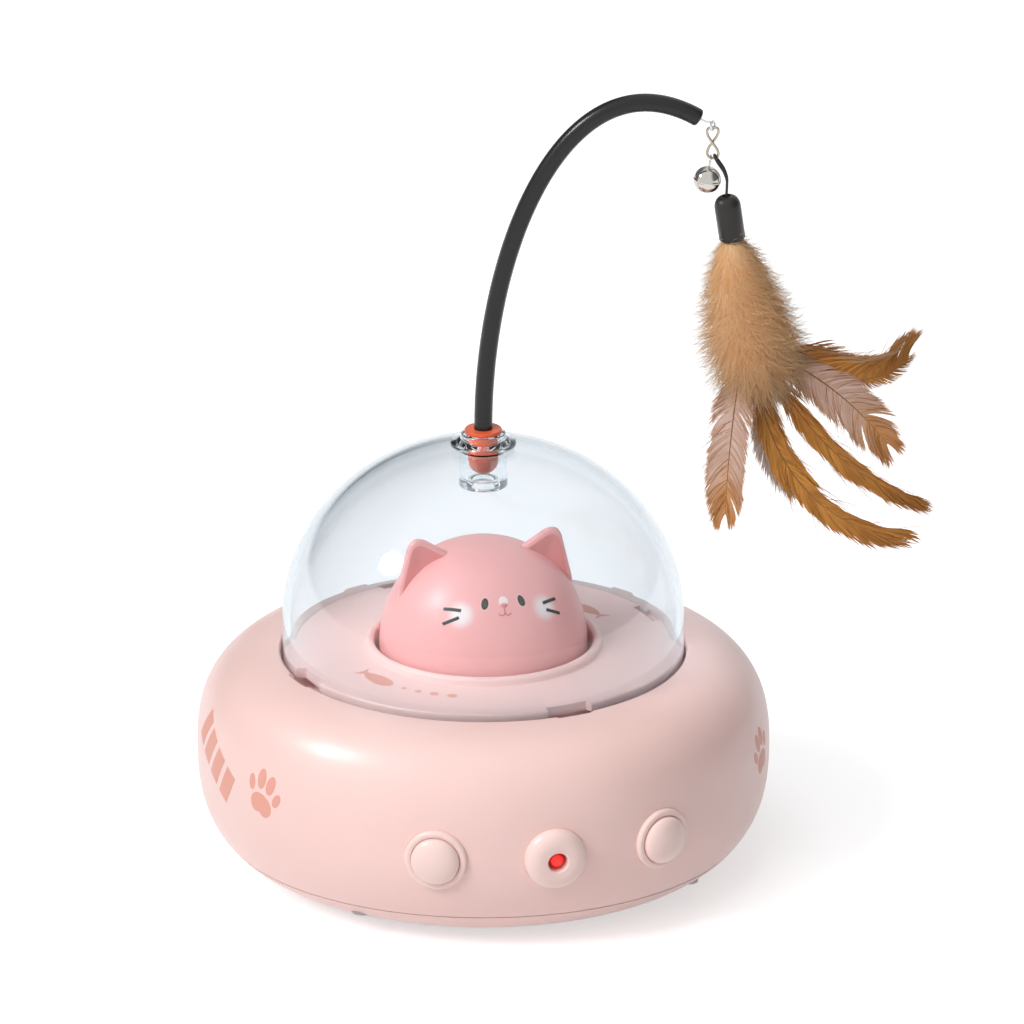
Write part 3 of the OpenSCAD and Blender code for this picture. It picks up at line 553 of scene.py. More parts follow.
def crisp(piece, degrees=32):
    """Smooth shading, with edges sharper than an angle kept crisp."""
    piece.data.set_sharp_from_angle(angle=math.radians(degrees))
    return piece


# %% [markdown]
# ## The saucer
# The saucer is two shells that meet in a fine line near the floor. Each side of its section is a quarter of
# a full ellipse, drawn in to the wall for the inside. Spinning the section gives a smooth skin, and the
# openings for the light, the buttons and the charging socket are then cut out.

# %% Saucer sizes
body_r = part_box("upper_shell")[1].x
seam_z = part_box("upper_shell")[0].z
shoulder_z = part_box("upper_shell")[1].z
bottom_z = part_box("base_cover")[0].z
wall = 2.4 * mm
waist_z = 34 * mm
upper_reach, upper_power = 25 * mm, 2.49
lower_reach, lower_power = 34.4 * mm, 2.63
upper_h = 25.4 * mm
lower_h = waist_z - bottom_z
collar_r, collar_h = 53.1 * mm, 7 * mm
control_z, control_tilt = 28.6 * mm, math.radians(3)


def upper_curve(inset):
    return bulge(body_r - upper_reach, upper_reach - inset, waist_z, upper_h - inset, upper_power)


def lower_curve(inset, start, end):
    edge, deep = body_r - lower_reach, inset - lower_h
    return bulge(edge, lower_reach - inset, waist_z, deep, lower_power, start, end)


def lower_angle(height, inset):
    return math.degrees(math.asin(((waist_z - height) / (lower_h - inset)) ** (lower_power / 2)))


def saucer_radius(height):
    """The saucer's outer radius at a height."""
    reach, tall, power = lower_reach, lower_h, lower_power
    if height >= waist_z:
        reach, tall, power = upper_reach, upper_h, upper_power
    share = abs(height - waist_z) / tall
    return body_r - reach + reach * (1 - share ** power) ** (1 / power)


def front_place(turn):
    """The place of a front control, with +Z out of the wall."""
    spin = Matrix.Rotation(math.radians(turn - 90), 4, "Z")
    out = Matrix.Translation((saucer_radius(control_z), 0, control_z))
    return spin @ out @ Matrix.Rotation(math.radians(90) + control_tilt, 4, "Y")


# %% Saucer shells
control_turns = {"mode": -24, "laser": 0, "power": 24}
control_bore = 8.35 * mm
usb_z = 12.8 * mm
usb_half_high, usb_end_x = 1.9 * mm, 2.9 * mm
notch_turns = [12, 102, 192, 282]
corner_turns = (45, 135, 225, 315)


def ring_sector(name, inner, outer, low, high, middle, width):
    """A block of a ring, for cutting a notch."""
    steps = 10
    points, faces = [], []
    for k in range(steps + 1):
        turn = math.radians(middle - width / 2 + width * k / steps)
        way = Vector((math.cos(turn), math.sin(turn), 0))
        for radius, height in ((inner, low), (outer, low), (outer, high), (inner, high)):
            points.append(radius * way + Vector((0, 0, height)))
    for k in range(steps):
        for c in range(4):
            m = (c + 1) % 4
            faces.append((4 * k + c, 4 * k + m, 4 * k + 4 + m, 4 * k + 4 + c))
    faces.append((0, 1, 2, 3))
    faces.append(tuple(4 * steps + c for c in (3, 2, 1, 0)))
    return closed_mesh(name, points, faces, smooth=False)


def upper_shell():
    lip, lip_drop, seam_break = 0.9 * mm, 0.05 * mm, 0.15 * mm
    bore_low, bore_high = -14 * mm, 12 * mm
    top = [p for p in upper_curve(0) if p[0] > collar_r + lip]
    outer = lower_curve(0, lower_angle(seam_z, 0), 0)[1:-1]
    seam_r = saucer_radius(seam_z)
    inner = [p for p in upper_curve(wall) if p[0] > collar_r + wall][::-1]
    inside = lower_curve(wall, 0, lower_angle(seam_z, wall))
    profile = [(seam_r - seam_break, seam_z)] + outer + top
    profile += arc((collar_r + lip, shoulder_z - lip - lip_drop), lip, 90, 180, 6)
    profile += [(collar_r, shoulder_z - collar_h), (collar_r + wall, shoulder_z - collar_h)]
    profile += inner + inside + [(seam_r - wall, seam_z)]
    cutters = []
    for turn in control_turns.values():
        bore = [(0, bore_low), (control_bore, bore_low), (control_bore, bore_high), (0, bore_high)]
        cutters.append(turned("bore", bore, 64, front_place(turn)))
    for turn in notch_turns:
        cutters.append(ring_sector(
            "notch", collar_r - mm, collar_r + 1.5 * mm, shoulder_z - 1.5 * mm, shoulder_z + mm, turn, 11
        ))
    cutters.append(slot_cutter())
    return combined(turned("upper_shell", profile, 224), "DIFFERENCE", cutters)


def slot_cutter():
    """A bar with round ends that opens the wall in front of the charging socket."""
    outline = []
    for end, start in ((usb_end_x, -90), (-usb_end_x, 90)):
        outline += arc((end, usb_z), usb_half_high, start, start + 180, 12)
    near, far = 55 * mm, 80 * mm
    count = len(outline)
    points = [Vector((x, depth, z)) for depth in (near, far) for x, z in outline]
    faces = [(k, (k + 1) % count, count + (k + 1) % count, count + k) for k in range(count)]
    faces += [tuple(range(count))[::-1], tuple(range(count, 2 * count))]
    return closed_mesh("slot", points, faces)


def base_cover():
    seam_gap = 0.12 * mm
    edge_z = seam_z - seam_gap
    floor_z = bottom_z + wall
    outer = lower_curve(0, 90, lower_angle(edge_z, 0))
    inner = lower_curve(wall, lower_angle(edge_z, wall), 90)
    edge_r = saucer_radius(edge_z)
    profile = [(0, bottom_z)] + outer + [(edge_r - wall, edge_z)] + inner[1:] + [(0, floor_z)]
    feet_circle, screw_circle = 33.6 * mm, 62 * mm
    pocket_r, pocket_top = 5.1 * mm, bottom_z + 0.8 * mm
    spins = [Matrix.Rotation(math.radians(a), 4, "Z") for a in corner_turns]
    feet = [Vector((0, 0, 0))] + [spin.to_3x3() @ Vector((feet_circle, 0, 0)) for spin in spins]
    pocket = [(0, 0), (pocket_r, 0), (pocket_r, pocket_top), (0, pocket_top)]
    cutters = [turned("pocket", pocket, 48, Matrix.Translation(f)) for f in feet]
    well = in_mm([(0, 0), (3.1, 0), (3.1, 7.8), (1.7, 7.8), (1.7, 12), (0, 12)])
    for spin in spins:
        at = spin @ Matrix.Translation((screw_circle, 0, 0))
        cutters.append(turned("well", well, 40, at))
    return combined(turned("base_cover", profile, 224), "DIFFERENCE", cutters)


saucer = crisp(finished("saucer_upper", upper_shell(), pink_shell, "base", "pink_shell", "upper_shell"))
cover = crisp(finished("saucer_lower", base_cover(), pink_shell, "base", "pink_shell", "base_cover"))
print("saucer:", len(saucer.data.polygons), "and", len(cover.data.polygons), "faces")


# %% [markdown]
# ## Front controls
# Two domed buttons sit in rings, and between them a fuller ring holds the red light. Each is a turned form
# put at its place on the wall. The red window is clear red plastic that glows a little.

# %% Rings, buttons and light
window_top = 2.3


def red_glow(centre):
    """A red window, brightest in its middle."""
    material, tree, shader = new_finish("red_lens")
    reach = vector_node(tree, "DISTANCE", object_coords(tree), tuple(centre))
    outward = step_between(tree, reach, 1.2 * mm, 2.6 * mm)
    feed_all(tree, shader, {
        "Base Color": mix_colour(tree, outward, (0.95, 0.02, 0.015, 1), (0.40, 0.0, 0.0, 1)),
        "Roughness": 0.12, "Emission Color": (1.0, 0.01, 0.005, 1),
        "Emission Strength": step_between(tree, reach, 0.8 * mm, 2.2 * mm, 0.7, 0.15),
    })
    return material


def button_ring(name, turn):
    profile = [(0, -12), (7.3, -12), (7.3, -1.8), (8.3, -1.8), (8.3, 0.1)]
    profile += arc((7.4, 0.1), 0.9, 0, 90)[1:]
    profile += [(6.9, 1), (6.52, 0.7), (6.52, -10.5), (0, -10.5)]
    return turned(name, in_mm(profile), 96, front_place(turn))


def button_cap(name, turn):
    dome = arc((0, 1.2), 6.4, 0, 90, 24, high=3)
    profile = [(0, -5.7), (1.8, -5.7), (1.8, -2.4), (6.4, -2.4)] + dome[:-1] + [(0, 4.2)]
    return turned(name, in_mm(profile), 96, front_place(turn))


def light_ring(turn):
    profile = [(3.05, -12), (7.3, -12), (7.3, -1.8), (8.3, -1.8)]
    profile += arc((4.3, 0.2), 4, 0, 90, 18, high=3.2)
    profile += arc((3.1, 2.9), 0.5, 90, 180, 6) + [(2.6, -4), (3.05, -4)]
    return turned("light_ring", in_mm(profile), 96, front_place(turn))


def light_window(turn):
    crown = arc((0, 1.6), 1.9, 0, 81, 9, high=0.7)
    profile = [(0, -5.2), (1.9, -5.2)] + crown + [(0, window_top)]
    return turned("light_window", in_mm(profile), 64, front_place(turn))


for side in ("mode", "power"):
    turn = control_turns[side]
    button = side + "_button"
    ring_mesh, cap_mesh = button_ring(side, turn), button_cap(side, turn)
    crisp(finished(side + "_ring", ring_mesh, pink_trim, "base", "pink_trim", side + "_bezel"), 40)
    crisp(finished(side + "_cap", cap_mesh, pink_trim, button, "pink_trim", button), 40)
light_turn = control_turns["laser"]
crisp(finished("light_ring", light_ring(light_turn), pink_trim, "base", "pink_trim", "laser_bezel"), 40)
window_red = red_glow(front_place(light_turn) @ Vector((0, 0, window_top * mm)))
crisp(finished("light_window", light_window(light_turn), window_red, "base", "red_lens", "laser_lens"), 40)
print("controls: two buttons and a light")


# %% [markdown]
# ## Turntable
# The face round the cat's head turns with the dome. It has a soft raised lip round the head's well, and a
# neck and flange below, which the dome's four tabs lock on.

# %% Turntable face
disc_z = 60.4 * mm
well_r = 28.7 * mm


def turntable():
    hub_r, hub_low, well_floor = 5.05, 41.2, 50
    well, top, lip_r = well_r / mm, disc_z / mm, 1.2
    flange_r, flange_low, flange_top, rim_r = 52.4, 53.4, 55.4, 50.3
    lip = arc((well + lip_r, 61.4), lip_r, 0, 180, 18)
    lip = [(lip[0][0] + 0.5, top), (lip[0][0] + 0.12, 60.55)] + lip
    profile = [(hub_r, hub_low), (10, hub_low), (10, 48), (30.7, 48), (30.7, 58), (42.9, 58)]
    profile += [(42.9, flange_low), (flange_r, flange_low), (flange_r, flange_top), (44.9, flange_top)]
    profile += [(44.9, 58), (rim_r, 58), (rim_r, 59.8)] + arc((49.7, 59.8), 0.6, 0, 90, 5)[1:]
    profile += lip + [(well, well_floor), (hub_r, well_floor)]
    mesh = turned("turntable", in_mm(profile), 192)
    cutters = [ring_sector("notch", 47.8 * mm, 53 * mm, 57 * mm, 62 * mm, a, 14) for a in notch_turns]
    return combined(mesh, "DIFFERENCE", cutters)


face = crisp(finished("turntable_face", turntable(), pink_disc, "turntable", "pink_disc", "turntable"), 40)
print("turntable:", len(face.data.polygons), "faces")


# %% [markdown]
# ## Cat head
# The head is a low dome with two ears that lean out. Its skin is a formula too, so the printed face can lie
# on it exactly. Each ear is a rounded triangle with a dished front, joined to the head by a Boolean.

# %% Head and ears
head_r = 27.3 * mm
head_h = 28.8 * mm
head_power = 2.1
head_foot_z = 51.6 * mm
cheek_turn, cheek_z = 29.5, 76.9 * mm


def head_radius(height):
    share = max(0, (height - disc_z) / head_h)
    return head_r * max(0, 1 - share ** head_power) ** (1 / head_power)


def head_at(turn, height, lift=0.0):
    """A point on the head, by its turn in degrees from the front and its height."""
    angle = math.radians(turn)
    radius = head_radius(height)
    step = 0.05 * mm
    slope = (head_radius(height - step) - head_radius(height + step)) / (2 * step)
    normal = Vector((math.sin(angle), -math.cos(angle), slope)).normalized()
    return Vector((radius * math.sin(angle), -radius * math.cos(angle), height)) + lift * normal


def head_dome():
    curve = bulge(0, head_r, disc_z, head_h, head_power, steps=60)
    curve[-1] = (0, disc_z + head_h)
    return turned("head", [(0, head_foot_z), (head_r, head_foot_z)] + curve, 144)


ear_middle_y, ear_thick, ear_dish, ear_margin = -1.2, 2.3, 1.7, 1.1
ear_paint = 0.06


def ear_outline():
    """A rounded triangle, as sideways and upward places in millimetres."""
    corners = [Vector((6.8, 84.6)), Vector((23.6, 75.2)), Vector((19.2, 92.0))]
    rounding = [2.6, 3.5, 3.8]
    outline = []
    for k in range(3):
        here = corners[k]
        first = here + (corners[k - 1] - here).normalized() * rounding[k]
        last = here + (corners[(k + 1) % 3] - here).normalized() * rounding[k]
        outline += corner(first, here, last, 12)
    middle = sum(corners, Vector((0, 0))) / 3
    return middle, [p + (p - middle).normalized() * ear_margin for p in outline]


def ear_ring(side, share, depth):
    middle, outline = ear_outline()
    made = []
    for p in outline:
        x, z = middle.x + share * (p.x - middle.x), middle.y + share * (p.y - middle.y)
        made.append(Vector((side * x, depth, z)) * mm)
    return made


def ear_front(share):
    return ear_middle_y - ear_thick * (1 - share ** 6) ** 0.5 + ear_dish * (1 - share ** 2.2)


def ear_back(share):
    return ear_middle_y + ear_thick * 1.3 * (1 - share ** 2.6) ** 0.5


def ear(side):
    """An ear with a dished front and a full back."""
    steps = 14
    depths = [(k / steps, ear_front(k / steps)) for k in range(1, steps + 1)]
    depths += [(k / steps, ear_back(k / steps)) for k in range(steps - 1, 0, -1)]
    middle, outline = ear_outline()
    count = len(outline)
    points = [Vector((side * middle.x, ear_front(0), middle.y)) * mm]
    for share, depth in depths:
        points += ear_ring(side, share, depth)
    points.append(Vector((side * middle.x, ear_back(0), middle.y)) * mm)
    faces = fan(0, 1, count)
    for r in range(len(depths) - 1):
        faces += band(1 + r * count, 1 + (r + 1) * count, count)
    last = 1 + (len(depths) - 1) * count
    faces += [(last + k, len(points) - 1, last + (k + 1) % count) for k in range(count)]
    return closed_mesh("ear", points, faces)


def ear_lining(side):
    """A rosier, darker coat in an ear's dish, as thin as a coat of paint. It is partly the inner ear's own
    colour and partly painted shade of the hollow.
    """
    shares = [k / 10 for k in range(1, 9)]
    middle, outline = ear_outline()
    count = len(outline)
    points = []
    for lift in (ear_paint, -ear_paint):
        points.append(Vector((side * middle.x, ear_front(0) - lift, middle.y)) * mm)
        for share in shares:
            points += ear_ring(side, share, ear_front(share) - lift)
    layer = 1 + len(shares) * count
    faces = []
    for start in (0, layer):
        faces += fan(start, start + 1, count)
        for r in range(len(shares) - 1):
            faces += band(start + 1 + r * count, start + 1 + (r + 1) * count, count)
    rim = 1 + (len(shares) - 1) * count
    faces += band(rim, layer + rim, count)
    return closed_mesh("ear_lining", points, faces)


def head_finish():
    """Head plastic, with two soft white cheek spots."""
    material = moulded("head_pink", (0.92, 0.43, 0.41), 0.40, coat=0.1)
    tree = material.node_tree
    shader = tree.nodes["Principled BSDF"]
    coords = object_coords(tree)
    colour = shader.inputs["Base Color"].links[0].from_socket
    for turn in (-cheek_turn, cheek_turn):
        spot = vector_node(tree, "DISTANCE", coords, tuple(head_at(turn, cheek_z)))
        weight = step_between(tree, spot, 1.2 * mm, 4.6 * mm, 0.85, 0.0)
        colour = mix_colour(tree, weight, colour, (0.95, 0.90, 0.88, 1))
    tree.links.new(colour, shader.inputs["Base Color"])
    return material


head_mesh = combined(head_dome(), "UNION", [ear(-1), ear(1)])
head = crisp(finished("cat_head_skin", head_mesh, head_finish(), "base", "head_pink", "cat_head"), 38)
# The ear dishes get a darker rose coat: partly their own colour, partly painted shade of the hollow.
ear_rose = moulded("ear_rose", (0.80, 0.30, 0.28), 0.45)
dish_tints = joined("ear_linings", [ear_lining(-1), ear_lining(1)])
crisp(finished("ear_linings", dish_tints, ear_rose, "base", "head_pink"), 50)
print("head:", len(head.data.polygons), "faces")

# %% [markdown]
# ## Dome, socket and plug
# The dome is one clear wall with a straight skirt that stands in the gap between the turntable and the
# saucer. The socket at its top is a thick clear cup, and the rod's orange plug sits in it.

# %% Clear pieces
dome_r = 52.6 * mm
dome_wall = 2 * mm
dome_foot_z = 55.5 * mm
skirt_top = disc_z + 8 * mm
dome_h = 47.8 * mm
dome_top = skirt_top + dome_h
socket_hole = 6.35 * mm


def dome_shell():
    def curve(inset):
        whole = arc((0, skirt_top), dome_r - inset, 0, 90, 72, high=dome_h - inset)
        return [p for p in whole if p[0] > socket_hole]

    rim = arc((dome_r - dome_wall / 2, dome_foot_z + dome_wall / 2), dome_wall / 2, 180, 360, 8)
    top_out = skirt_top + dome_h * (1 - (socket_hole / dome_r) ** 2) ** 0.5
    top_in = skirt_top + (dome_h - dome_wall) * (1 - (socket_hole / (dome_r - dome_wall)) ** 2) ** 0.5
    profile = rim + curve(0) + [(socket_hole, top_out), (socket_hole, top_in)] + curve(dome_wall)[::-1]
    tabs = [ring_sector("tab", 48.4 * mm, 51.2 * mm, 55.7 * mm, 57.5 * mm, a + 16, 10) for a in notch_turns]
    return combined(turned("dome", profile, 192), "UNION", tabs)


def socket_cup():
    top, bottom = 119.7, 104.6
    shoulder = dome_top / mm
    profile = [(2.9, bottom), (6.3, bottom), (6.3, shoulder), (8.6, shoulder), (8.6, shoulder + 0.9)]
    profile += [(5.9, shoulder + 1.8), (5.9, top), (4.0, top), (4.0, bottom + 2), (2.9, bottom + 2)]
    return turned("socket", softened(in_mm(profile), 0.5 * mm), 96)


def plug():
    bottom, radius, seat, top, bore_r, bore_foot = 108.0, 3.95, 119.72, 120.7, 2.42, 112.2
    tip = [(radius * math.sin(t), bottom + radius - radius * math.cos(t)) for t in
           (math.radians(6 * k) for k in range(16))]
    tip[0] = (0, bottom)
    profile = tip + [(radius, seat), (4.85, seat), (4.85, 120.5)] + arc((4.6, 120.45), 0.25, 0, 90, 4)
    profile += [(bore_r, top), (bore_r, bore_foot), (0, bore_foot)]
    return turned("plug", in_mm(profile), 96)


dome = crisp(finished("dome_clear", dome_shell(), clear_dome, "dome", "clear_plastic", "dome"), 40)
crisp(finished("socket_clear", socket_cup(), clear_socket, "dome", "clear_plastic", "rod_socket"), 60)
crisp(finished("plug_orange", plug(), orange_rubber, "rod", "orange_rubber", "rod_plug"), 40)
print("dome:", len(dome.data.polygons), "faces")

# %% [markdown]
# ## Rod, wire, link and bell
# The rod bends in one upright plane, which the CAD joints give: the bell swings round the plane's sideways
# axis. A steel wire runs through the rubber and ends in an eye, a twisted link hangs in the eye, and the
# bell hangs in the link by its own loop.

# %% Rod
rod_side = Vector(joints["bell_swing"]["axis"])
rod_depth = Vector(joints["lure_swing"]["axis"])


def in_rod_plane(side, depth, up):
    """A point given in the rod's plane, in millimetres."""
    return (side * rod_side + depth * rod_depth + up * Vector((0, 0, 1))) * mm


def bezier(p, count):
    made = []
    for k in range(count + 1):
        t = k / count
        made.append(
            (1 - t) ** 3 * p[0] + 3 * (1 - t) ** 2 * t * p[1] + 3 * (1 - t) * t * t * p[2] + t ** 3 * p[3]
        )
    return made


rod_start = Vector((0, 0, 120.7))
rod_end = Vector((56.5, 0, 207.3))
rod_bend = [rod_start, Vector((0, 0, 175)), Vector((23.7, 0, 227.4)), rod_end]
rod_path = [in_rod_plane(0, 0, 112.3), in_rod_plane(0, 0, 116)]
rod_path += [in_rod_plane(*p) for p in bezier(rod_bend, 90)]
rod_heading = (rod_path[-1] - rod_path[-2]).normalized()
rod_r = 2.4 * mm
rounding = [(0.55, 0.0), (0.85, 0.25), (0.97, 0.55), (1.0, 0.9)]
sleeve_path = rod_path[:-1]
sleeve_radii = [rod_r] * len(sleeve_path)
for share, setback in reversed(rounding):
    sleeve_path.append(rod_path[-1] - setback * mm * rod_heading)
    sleeve_radii.append(share * rod_r)
finished(
    "rod_rubber", swept("sleeve", sleeve_path, sleeve_radii, 32, across=rod_depth), black_rubber, "rod",
    "black_rubber", "rod_sleeve",
)
print("rod:", len(sleeve_path), "rings")

# %% Wire, link and bell
eye_r, eye_wire = 1.2, 0.3
eye_at = Vector((59.8, 0, 205.4))
eye_turn = math.radians(65)
link_mid_z, link_h, link_w, link_depth, link_wire = 200.71, 4.3, 1.5, 0.46, 0.36
link_foot_z = link_mid_z - link_h


def eye_ring():
    across = Vector((math.cos(eye_turn), math.sin(eye_turn), 0))

    def place(t):
        return in_rod_plane(*(eye_at + eye_r * (math.cos(t) * across + math.sin(t) * Vector((0, 0, 1)))))

    return swept("eye", round_trip(48, place), eye_wire * mm, 14, closed=True, across=rod_side)


def wire_to_eye():
    ahead = Vector((rod_end.x + 0.75, 0, rod_end.z - 0.45))
    points = [rod_end - (ahead - rod_end) * 1.5, ahead, Vector((58.6, 0, 206.4))]
    points.append(eye_at + Vector((-0.42, 0, 1.1)))
    path = through([in_rod_plane(*p) for p in points], 8)
    return swept("wire", path, eye_wire * mm, 12, across=rod_depth)


def link_loop():
    def place(t):
        side = eye_at.x + link_w * math.sin(2 * t)
        return in_rod_plane(side, link_depth * math.sin(t), link_mid_z + link_h * math.cos(t))

    return swept("link", round_trip(120, place), link_wire * mm, 16, closed=True, across=rod_depth)


finished("steel_eye", joined("wire", [eye_ring(), wire_to_eye()]), steel, "rod", "steel", "rod_wire")
finished("twisted_link", link_loop(), nickel_wire, "link", "nickel_wire", "link")

hang_gap = 0.15
bell_r, bell_wall, bell_loop_r, bell_loop_wire = 3.6, 0.45, 1.7, 0.22
bell_drop = 2 * bell_loop_r + bell_r - 0.2
bell_hang = in_rod_plane(eye_at.x - 0.45, 0, link_foot_z + link_wire + bell_loop_wire + hang_gap)
bell_tilt = math.radians(8)
bell_axes = Matrix((rod_side, rod_depth, Vector((0, 0, 1)))).transposed().to_4x4()
bell_place = Matrix.Translation(bell_hang) @ bell_axes @ Matrix.Rotation(bell_tilt, 4, "Y")


def bell_shell():
    """A hollow ball with a pressed seam, a sound slot and a hole at each end of the slot."""
    centre = -bell_drop
    seam_swell, seam_spread = 0.16, 4.5
    slot_ends, slot_wide, slot_lift, hole_turn = 1.6, 0.9, 0.4, 52
    outer, inner = [], []
    for k in range(61):
        rise = -90 + 3 * k
        t = math.radians(rise)
        swell = seam_swell * math.exp(-((rise / seam_spread) ** 2))
        outer.append(((bell_r + swell) * math.cos(t), centre + (bell_r + swell) * math.sin(t)))
        inner.append(((bell_r - bell_wall) * math.cos(t), centre + (bell_r - bell_wall) * math.sin(t)))
    outer[0], outer[-1] = (0, centre - bell_r), (0, centre + bell_r)
    inner[0], inner[-1] = (0, centre - bell_r + bell_wall), (0, centre + bell_r - bell_wall)
    hull = turned("bell", in_mm(outer), 72)
    hollow = turned("hollow", in_mm(inner), 48)
    slot = bpy.data.meshes.new("slot")
    work = bmesh.new()
    bmesh.ops.create_cube(work, size=1)
    bmesh.ops.scale(work, vec=Vector((2 * bell_r - slot_ends, slot_wide, bell_r)) * mm, verts=work.verts)
    bmesh.ops.translate(work, vec=Vector((0, 0, centre - bell_r + slot_lift)) * mm, verts=work.verts)
    work.to_mesh(slot)
    work.free()
    holes = []
    for side in (-1, 1):
        spin = Matrix.Rotation(math.radians(side * hole_turn), 4, "Y")
        at = Matrix.Translation(Vector((0, 0, centre)) * mm) @ spin
        holes.append(turned("hole", in_mm([(0, -5), (0.75, -5), (0.75, -2), (0, -2)]), 24, at))
    return combined(hull, "DIFFERENCE", [hollow, slot] + holes)


def bell_loop():
    def place(t):
        return Vector((0, bell_loop_r * math.sin(t), bell_loop_r * math.cos(t) - bell_loop_r)) * mm

    path = round_trip(48, place)
    return swept("loop", path, bell_loop_wire * mm, 12, closed=True, across=Vector((1, 0, 0)))


bell_mesh = joined("bell", [bell_shell(), bell_loop()])
bell_mesh.transform(bell_place)
crisp(finished("jingle_bell", bell_mesh, chrome_bell, "bell", "chrome_bell", "bell"), 40)
print("bell at", [round(x, 4) for x in bell_hang])

# %% [markdown]
# ## Cord and cap
# A thin waxed cord goes over the foot of the link and down into the cap that grips the quills. The route is
# the same list of points as in the CAD part, so the loop lies where its solid is.

# %% Cord and cap
cord_r = 0.35
cord_top = Vector((eye_at.x + 0.4, 0, link_foot_z + link_wire + cord_r + hang_gap))
cord_half = [
    (3.4, -0.5, -13), (3.2, -0.5, -11.2), (3.3, -0.8, -9), (3.3, -1.2, -6.6), (2.4, -1.4, -4),
    (0.9, -1.35, -1.7), (0.2, -0.95, -0.4),
]
cord_route = [cord_top + Vector(p) for p in cord_half] + [cord_top]
cord_route += [cord_top + Vector((x, -y, z)) for x, y, z in reversed(cord_half)]
cord_path = through([in_rod_plane(*p) for p in cord_route], 6)
cord_length = sum((b - a).length for a, b in zip(cord_path, cord_path[1:]))
finished(
    "lure_cord_loop", swept("cord", cord_path, cord_r * mm, 12, across=rod_side), black_cord, "lure",
    "black_cord", "lure_cord",
)
print("cord:", round(1000 * cord_length, 1), "mm from end to end")

cap_r, cap_h = 3.45, 12.2
cap_tilt = math.radians(8)
cap_at = cord_top + Vector((3.1, 0, -11.3))
cap_axes = bell_axes @ Matrix.Rotation(-cap_tilt, 4, "Y")
cap_place = Matrix.Translation(in_rod_plane(*cap_at)) @ cap_axes


def cap():
    hole_r, hole_deep = 1.2, 3
    crown = arc((hole_r, -hole_deep), cap_r - hole_r, 0, 90, 15, high=hole_deep)
    profile = [(0, -cap_h), (cap_r - 0.3, -cap_h), (cap_r, -cap_h + 0.5)] + crown
    profile += [(1.15, -0.05), (1.1, -hole_deep), (0, -hole_deep)]
    return turned("cap", in_mm(profile), 64, cap_place)


crisp(finished("quill_cap", cap(), cap_rubber, "lure", "black_rubber", "feather_cap"), 45)


# %% [markdown]
# ## Printed motifs
# The saucer and the turntable carry simple prints in a deeper pink: paws, slanted bars, fish and dots. Each
# print is a flat outline, filled by rings from its middle and laid on the surface by that surface's own
# formula, with the thickness of a coat of ink.

# %% Prints
def turned_by(x, y, degrees):
    spin = math.radians(degrees)
    return x * math.cos(spin) - y * math.sin(spin), x * math.sin(spin) + y * math.cos(spin)


def oval(x, y, wide, high, turn=0):
    def place(t):
        across, up = turned_by(wide / 2 * math.cos(t), high / 2 * math.sin(t), turn)
        return x + across, y + up

    return round_trip(28, place)


def edged(corners, per=6):
    """An outline with straight edges, with points along each edge."""
    made = []
    for a, b in zip(corners, corners[1:] + corners[:1]):
        for s in range(per):
            t = s / per
            made.append((a[0] + (b[0] - a[0]) * t, a[1] + (b[1] - a[1]) * t))
    return made


def paw(scale, turn):
    def pad(t):
        reach = 2.75 - 0.75 * math.exp(-((t - 1.5 * math.pi) / 0.45) ** 2) + 0.25 * math.cos(2 * t)
        return reach * math.cos(t), -2.2 + 0.92 * reach * math.sin(t)

    shapes = [round_trip(40, pad), oval(-3.7, 0.9, 1.8, 3.2, 18), oval(-1.35, 2.9, 2.3, 4.1, 6)]
    shapes += [oval(1.35, 2.9, 2.3, 4.1, -6), oval(3.7, 0.9, 1.8, 3.2, -18)]
    spun = [[turned_by(x, y, turn) for x, y in shape] for shape in shapes]
    return [[(scale * x, scale * y) for x, y in shape] for shape in spun]


def bars():
    """Four slanted blocks in a row that runs down to the right."""
    wide, high, lean, step, drop = 4.4, 8.2, 5.0, 6.2, 0.5
    shapes = []
    for k in range(4):
        x = (k - 1.5) * step
        corners = []
        for across, up in ((-1, -1), (1, -1), (1, 1), (-1, 1)):
            corner_x = x + across * wide / 2 + up * lean / 2
            corners.append((corner_x, up * high / 2 - drop * (x + across * wide / 2)))
        shapes.append(edged(corners))
    return shapes


def fish():
    def body(t):
        return 5.2 * math.cos(t), 2.0 * math.sin(t) * (1 + 0.25 * math.cos(t))

    tail = edged([(-4.6, 0), (-7.4, 2.4), (-6.5, 0), (-7.4, -2.4)])
    return [round_trip(36, body), tail]


def on_saucer(turn, height):
    """A map from a flat print to the saucer's side at a turn in degrees and a height."""
    def place(x, y):
        z = height + y * mm
        radius = saucer_radius(z)
        angle = math.radians(turn) + x * mm / body_r
        return Vector((radius * math.cos(angle), radius * math.sin(angle), z))
    return place


def on_disc(turn, radius):
    """A map from a flat print to the turntable's face, running round it."""
    def place(x, y):
        angle = math.radians(turn) + x * mm / radius
        reach = radius + y * mm
        return Vector((reach * math.cos(angle), reach * math.sin(angle), disc_z))
    return place


def on_head(turn, height):
    """A map from a flat print to the cat's face."""
    def place(x, y):
        radius = head_radius(height)
        return head_at(turn + math.degrees(x * mm / radius), height + y * mm * 0.8)
    return place


def inked(name, points, faces, ink, smooth):
    """A piece of thin faces that get the thickness of ink on both sides."""
    mesh = bpy.data.meshes.new(name)
    mesh.from_pydata([tuple(p) for p in points], [], faces)
    mesh.polygons.foreach_set("use_smooth", [smooth] * len(mesh.polygons))
    piece = bpy.data.objects.new(name, mesh)
    bpy.context.scene.collection.objects.link(piece)
    thick = piece.modifiers.new("ink", "SOLIDIFY")
    thick.thickness = 2 * ink
    thick.offset = 0
    graph = bpy.context.evaluated_depsgraph_get()
    solid = bpy.data.meshes.new_from_object(piece.evaluated_get(graph))
    piece.modifiers.clear()
    piece.data = solid
    return piece


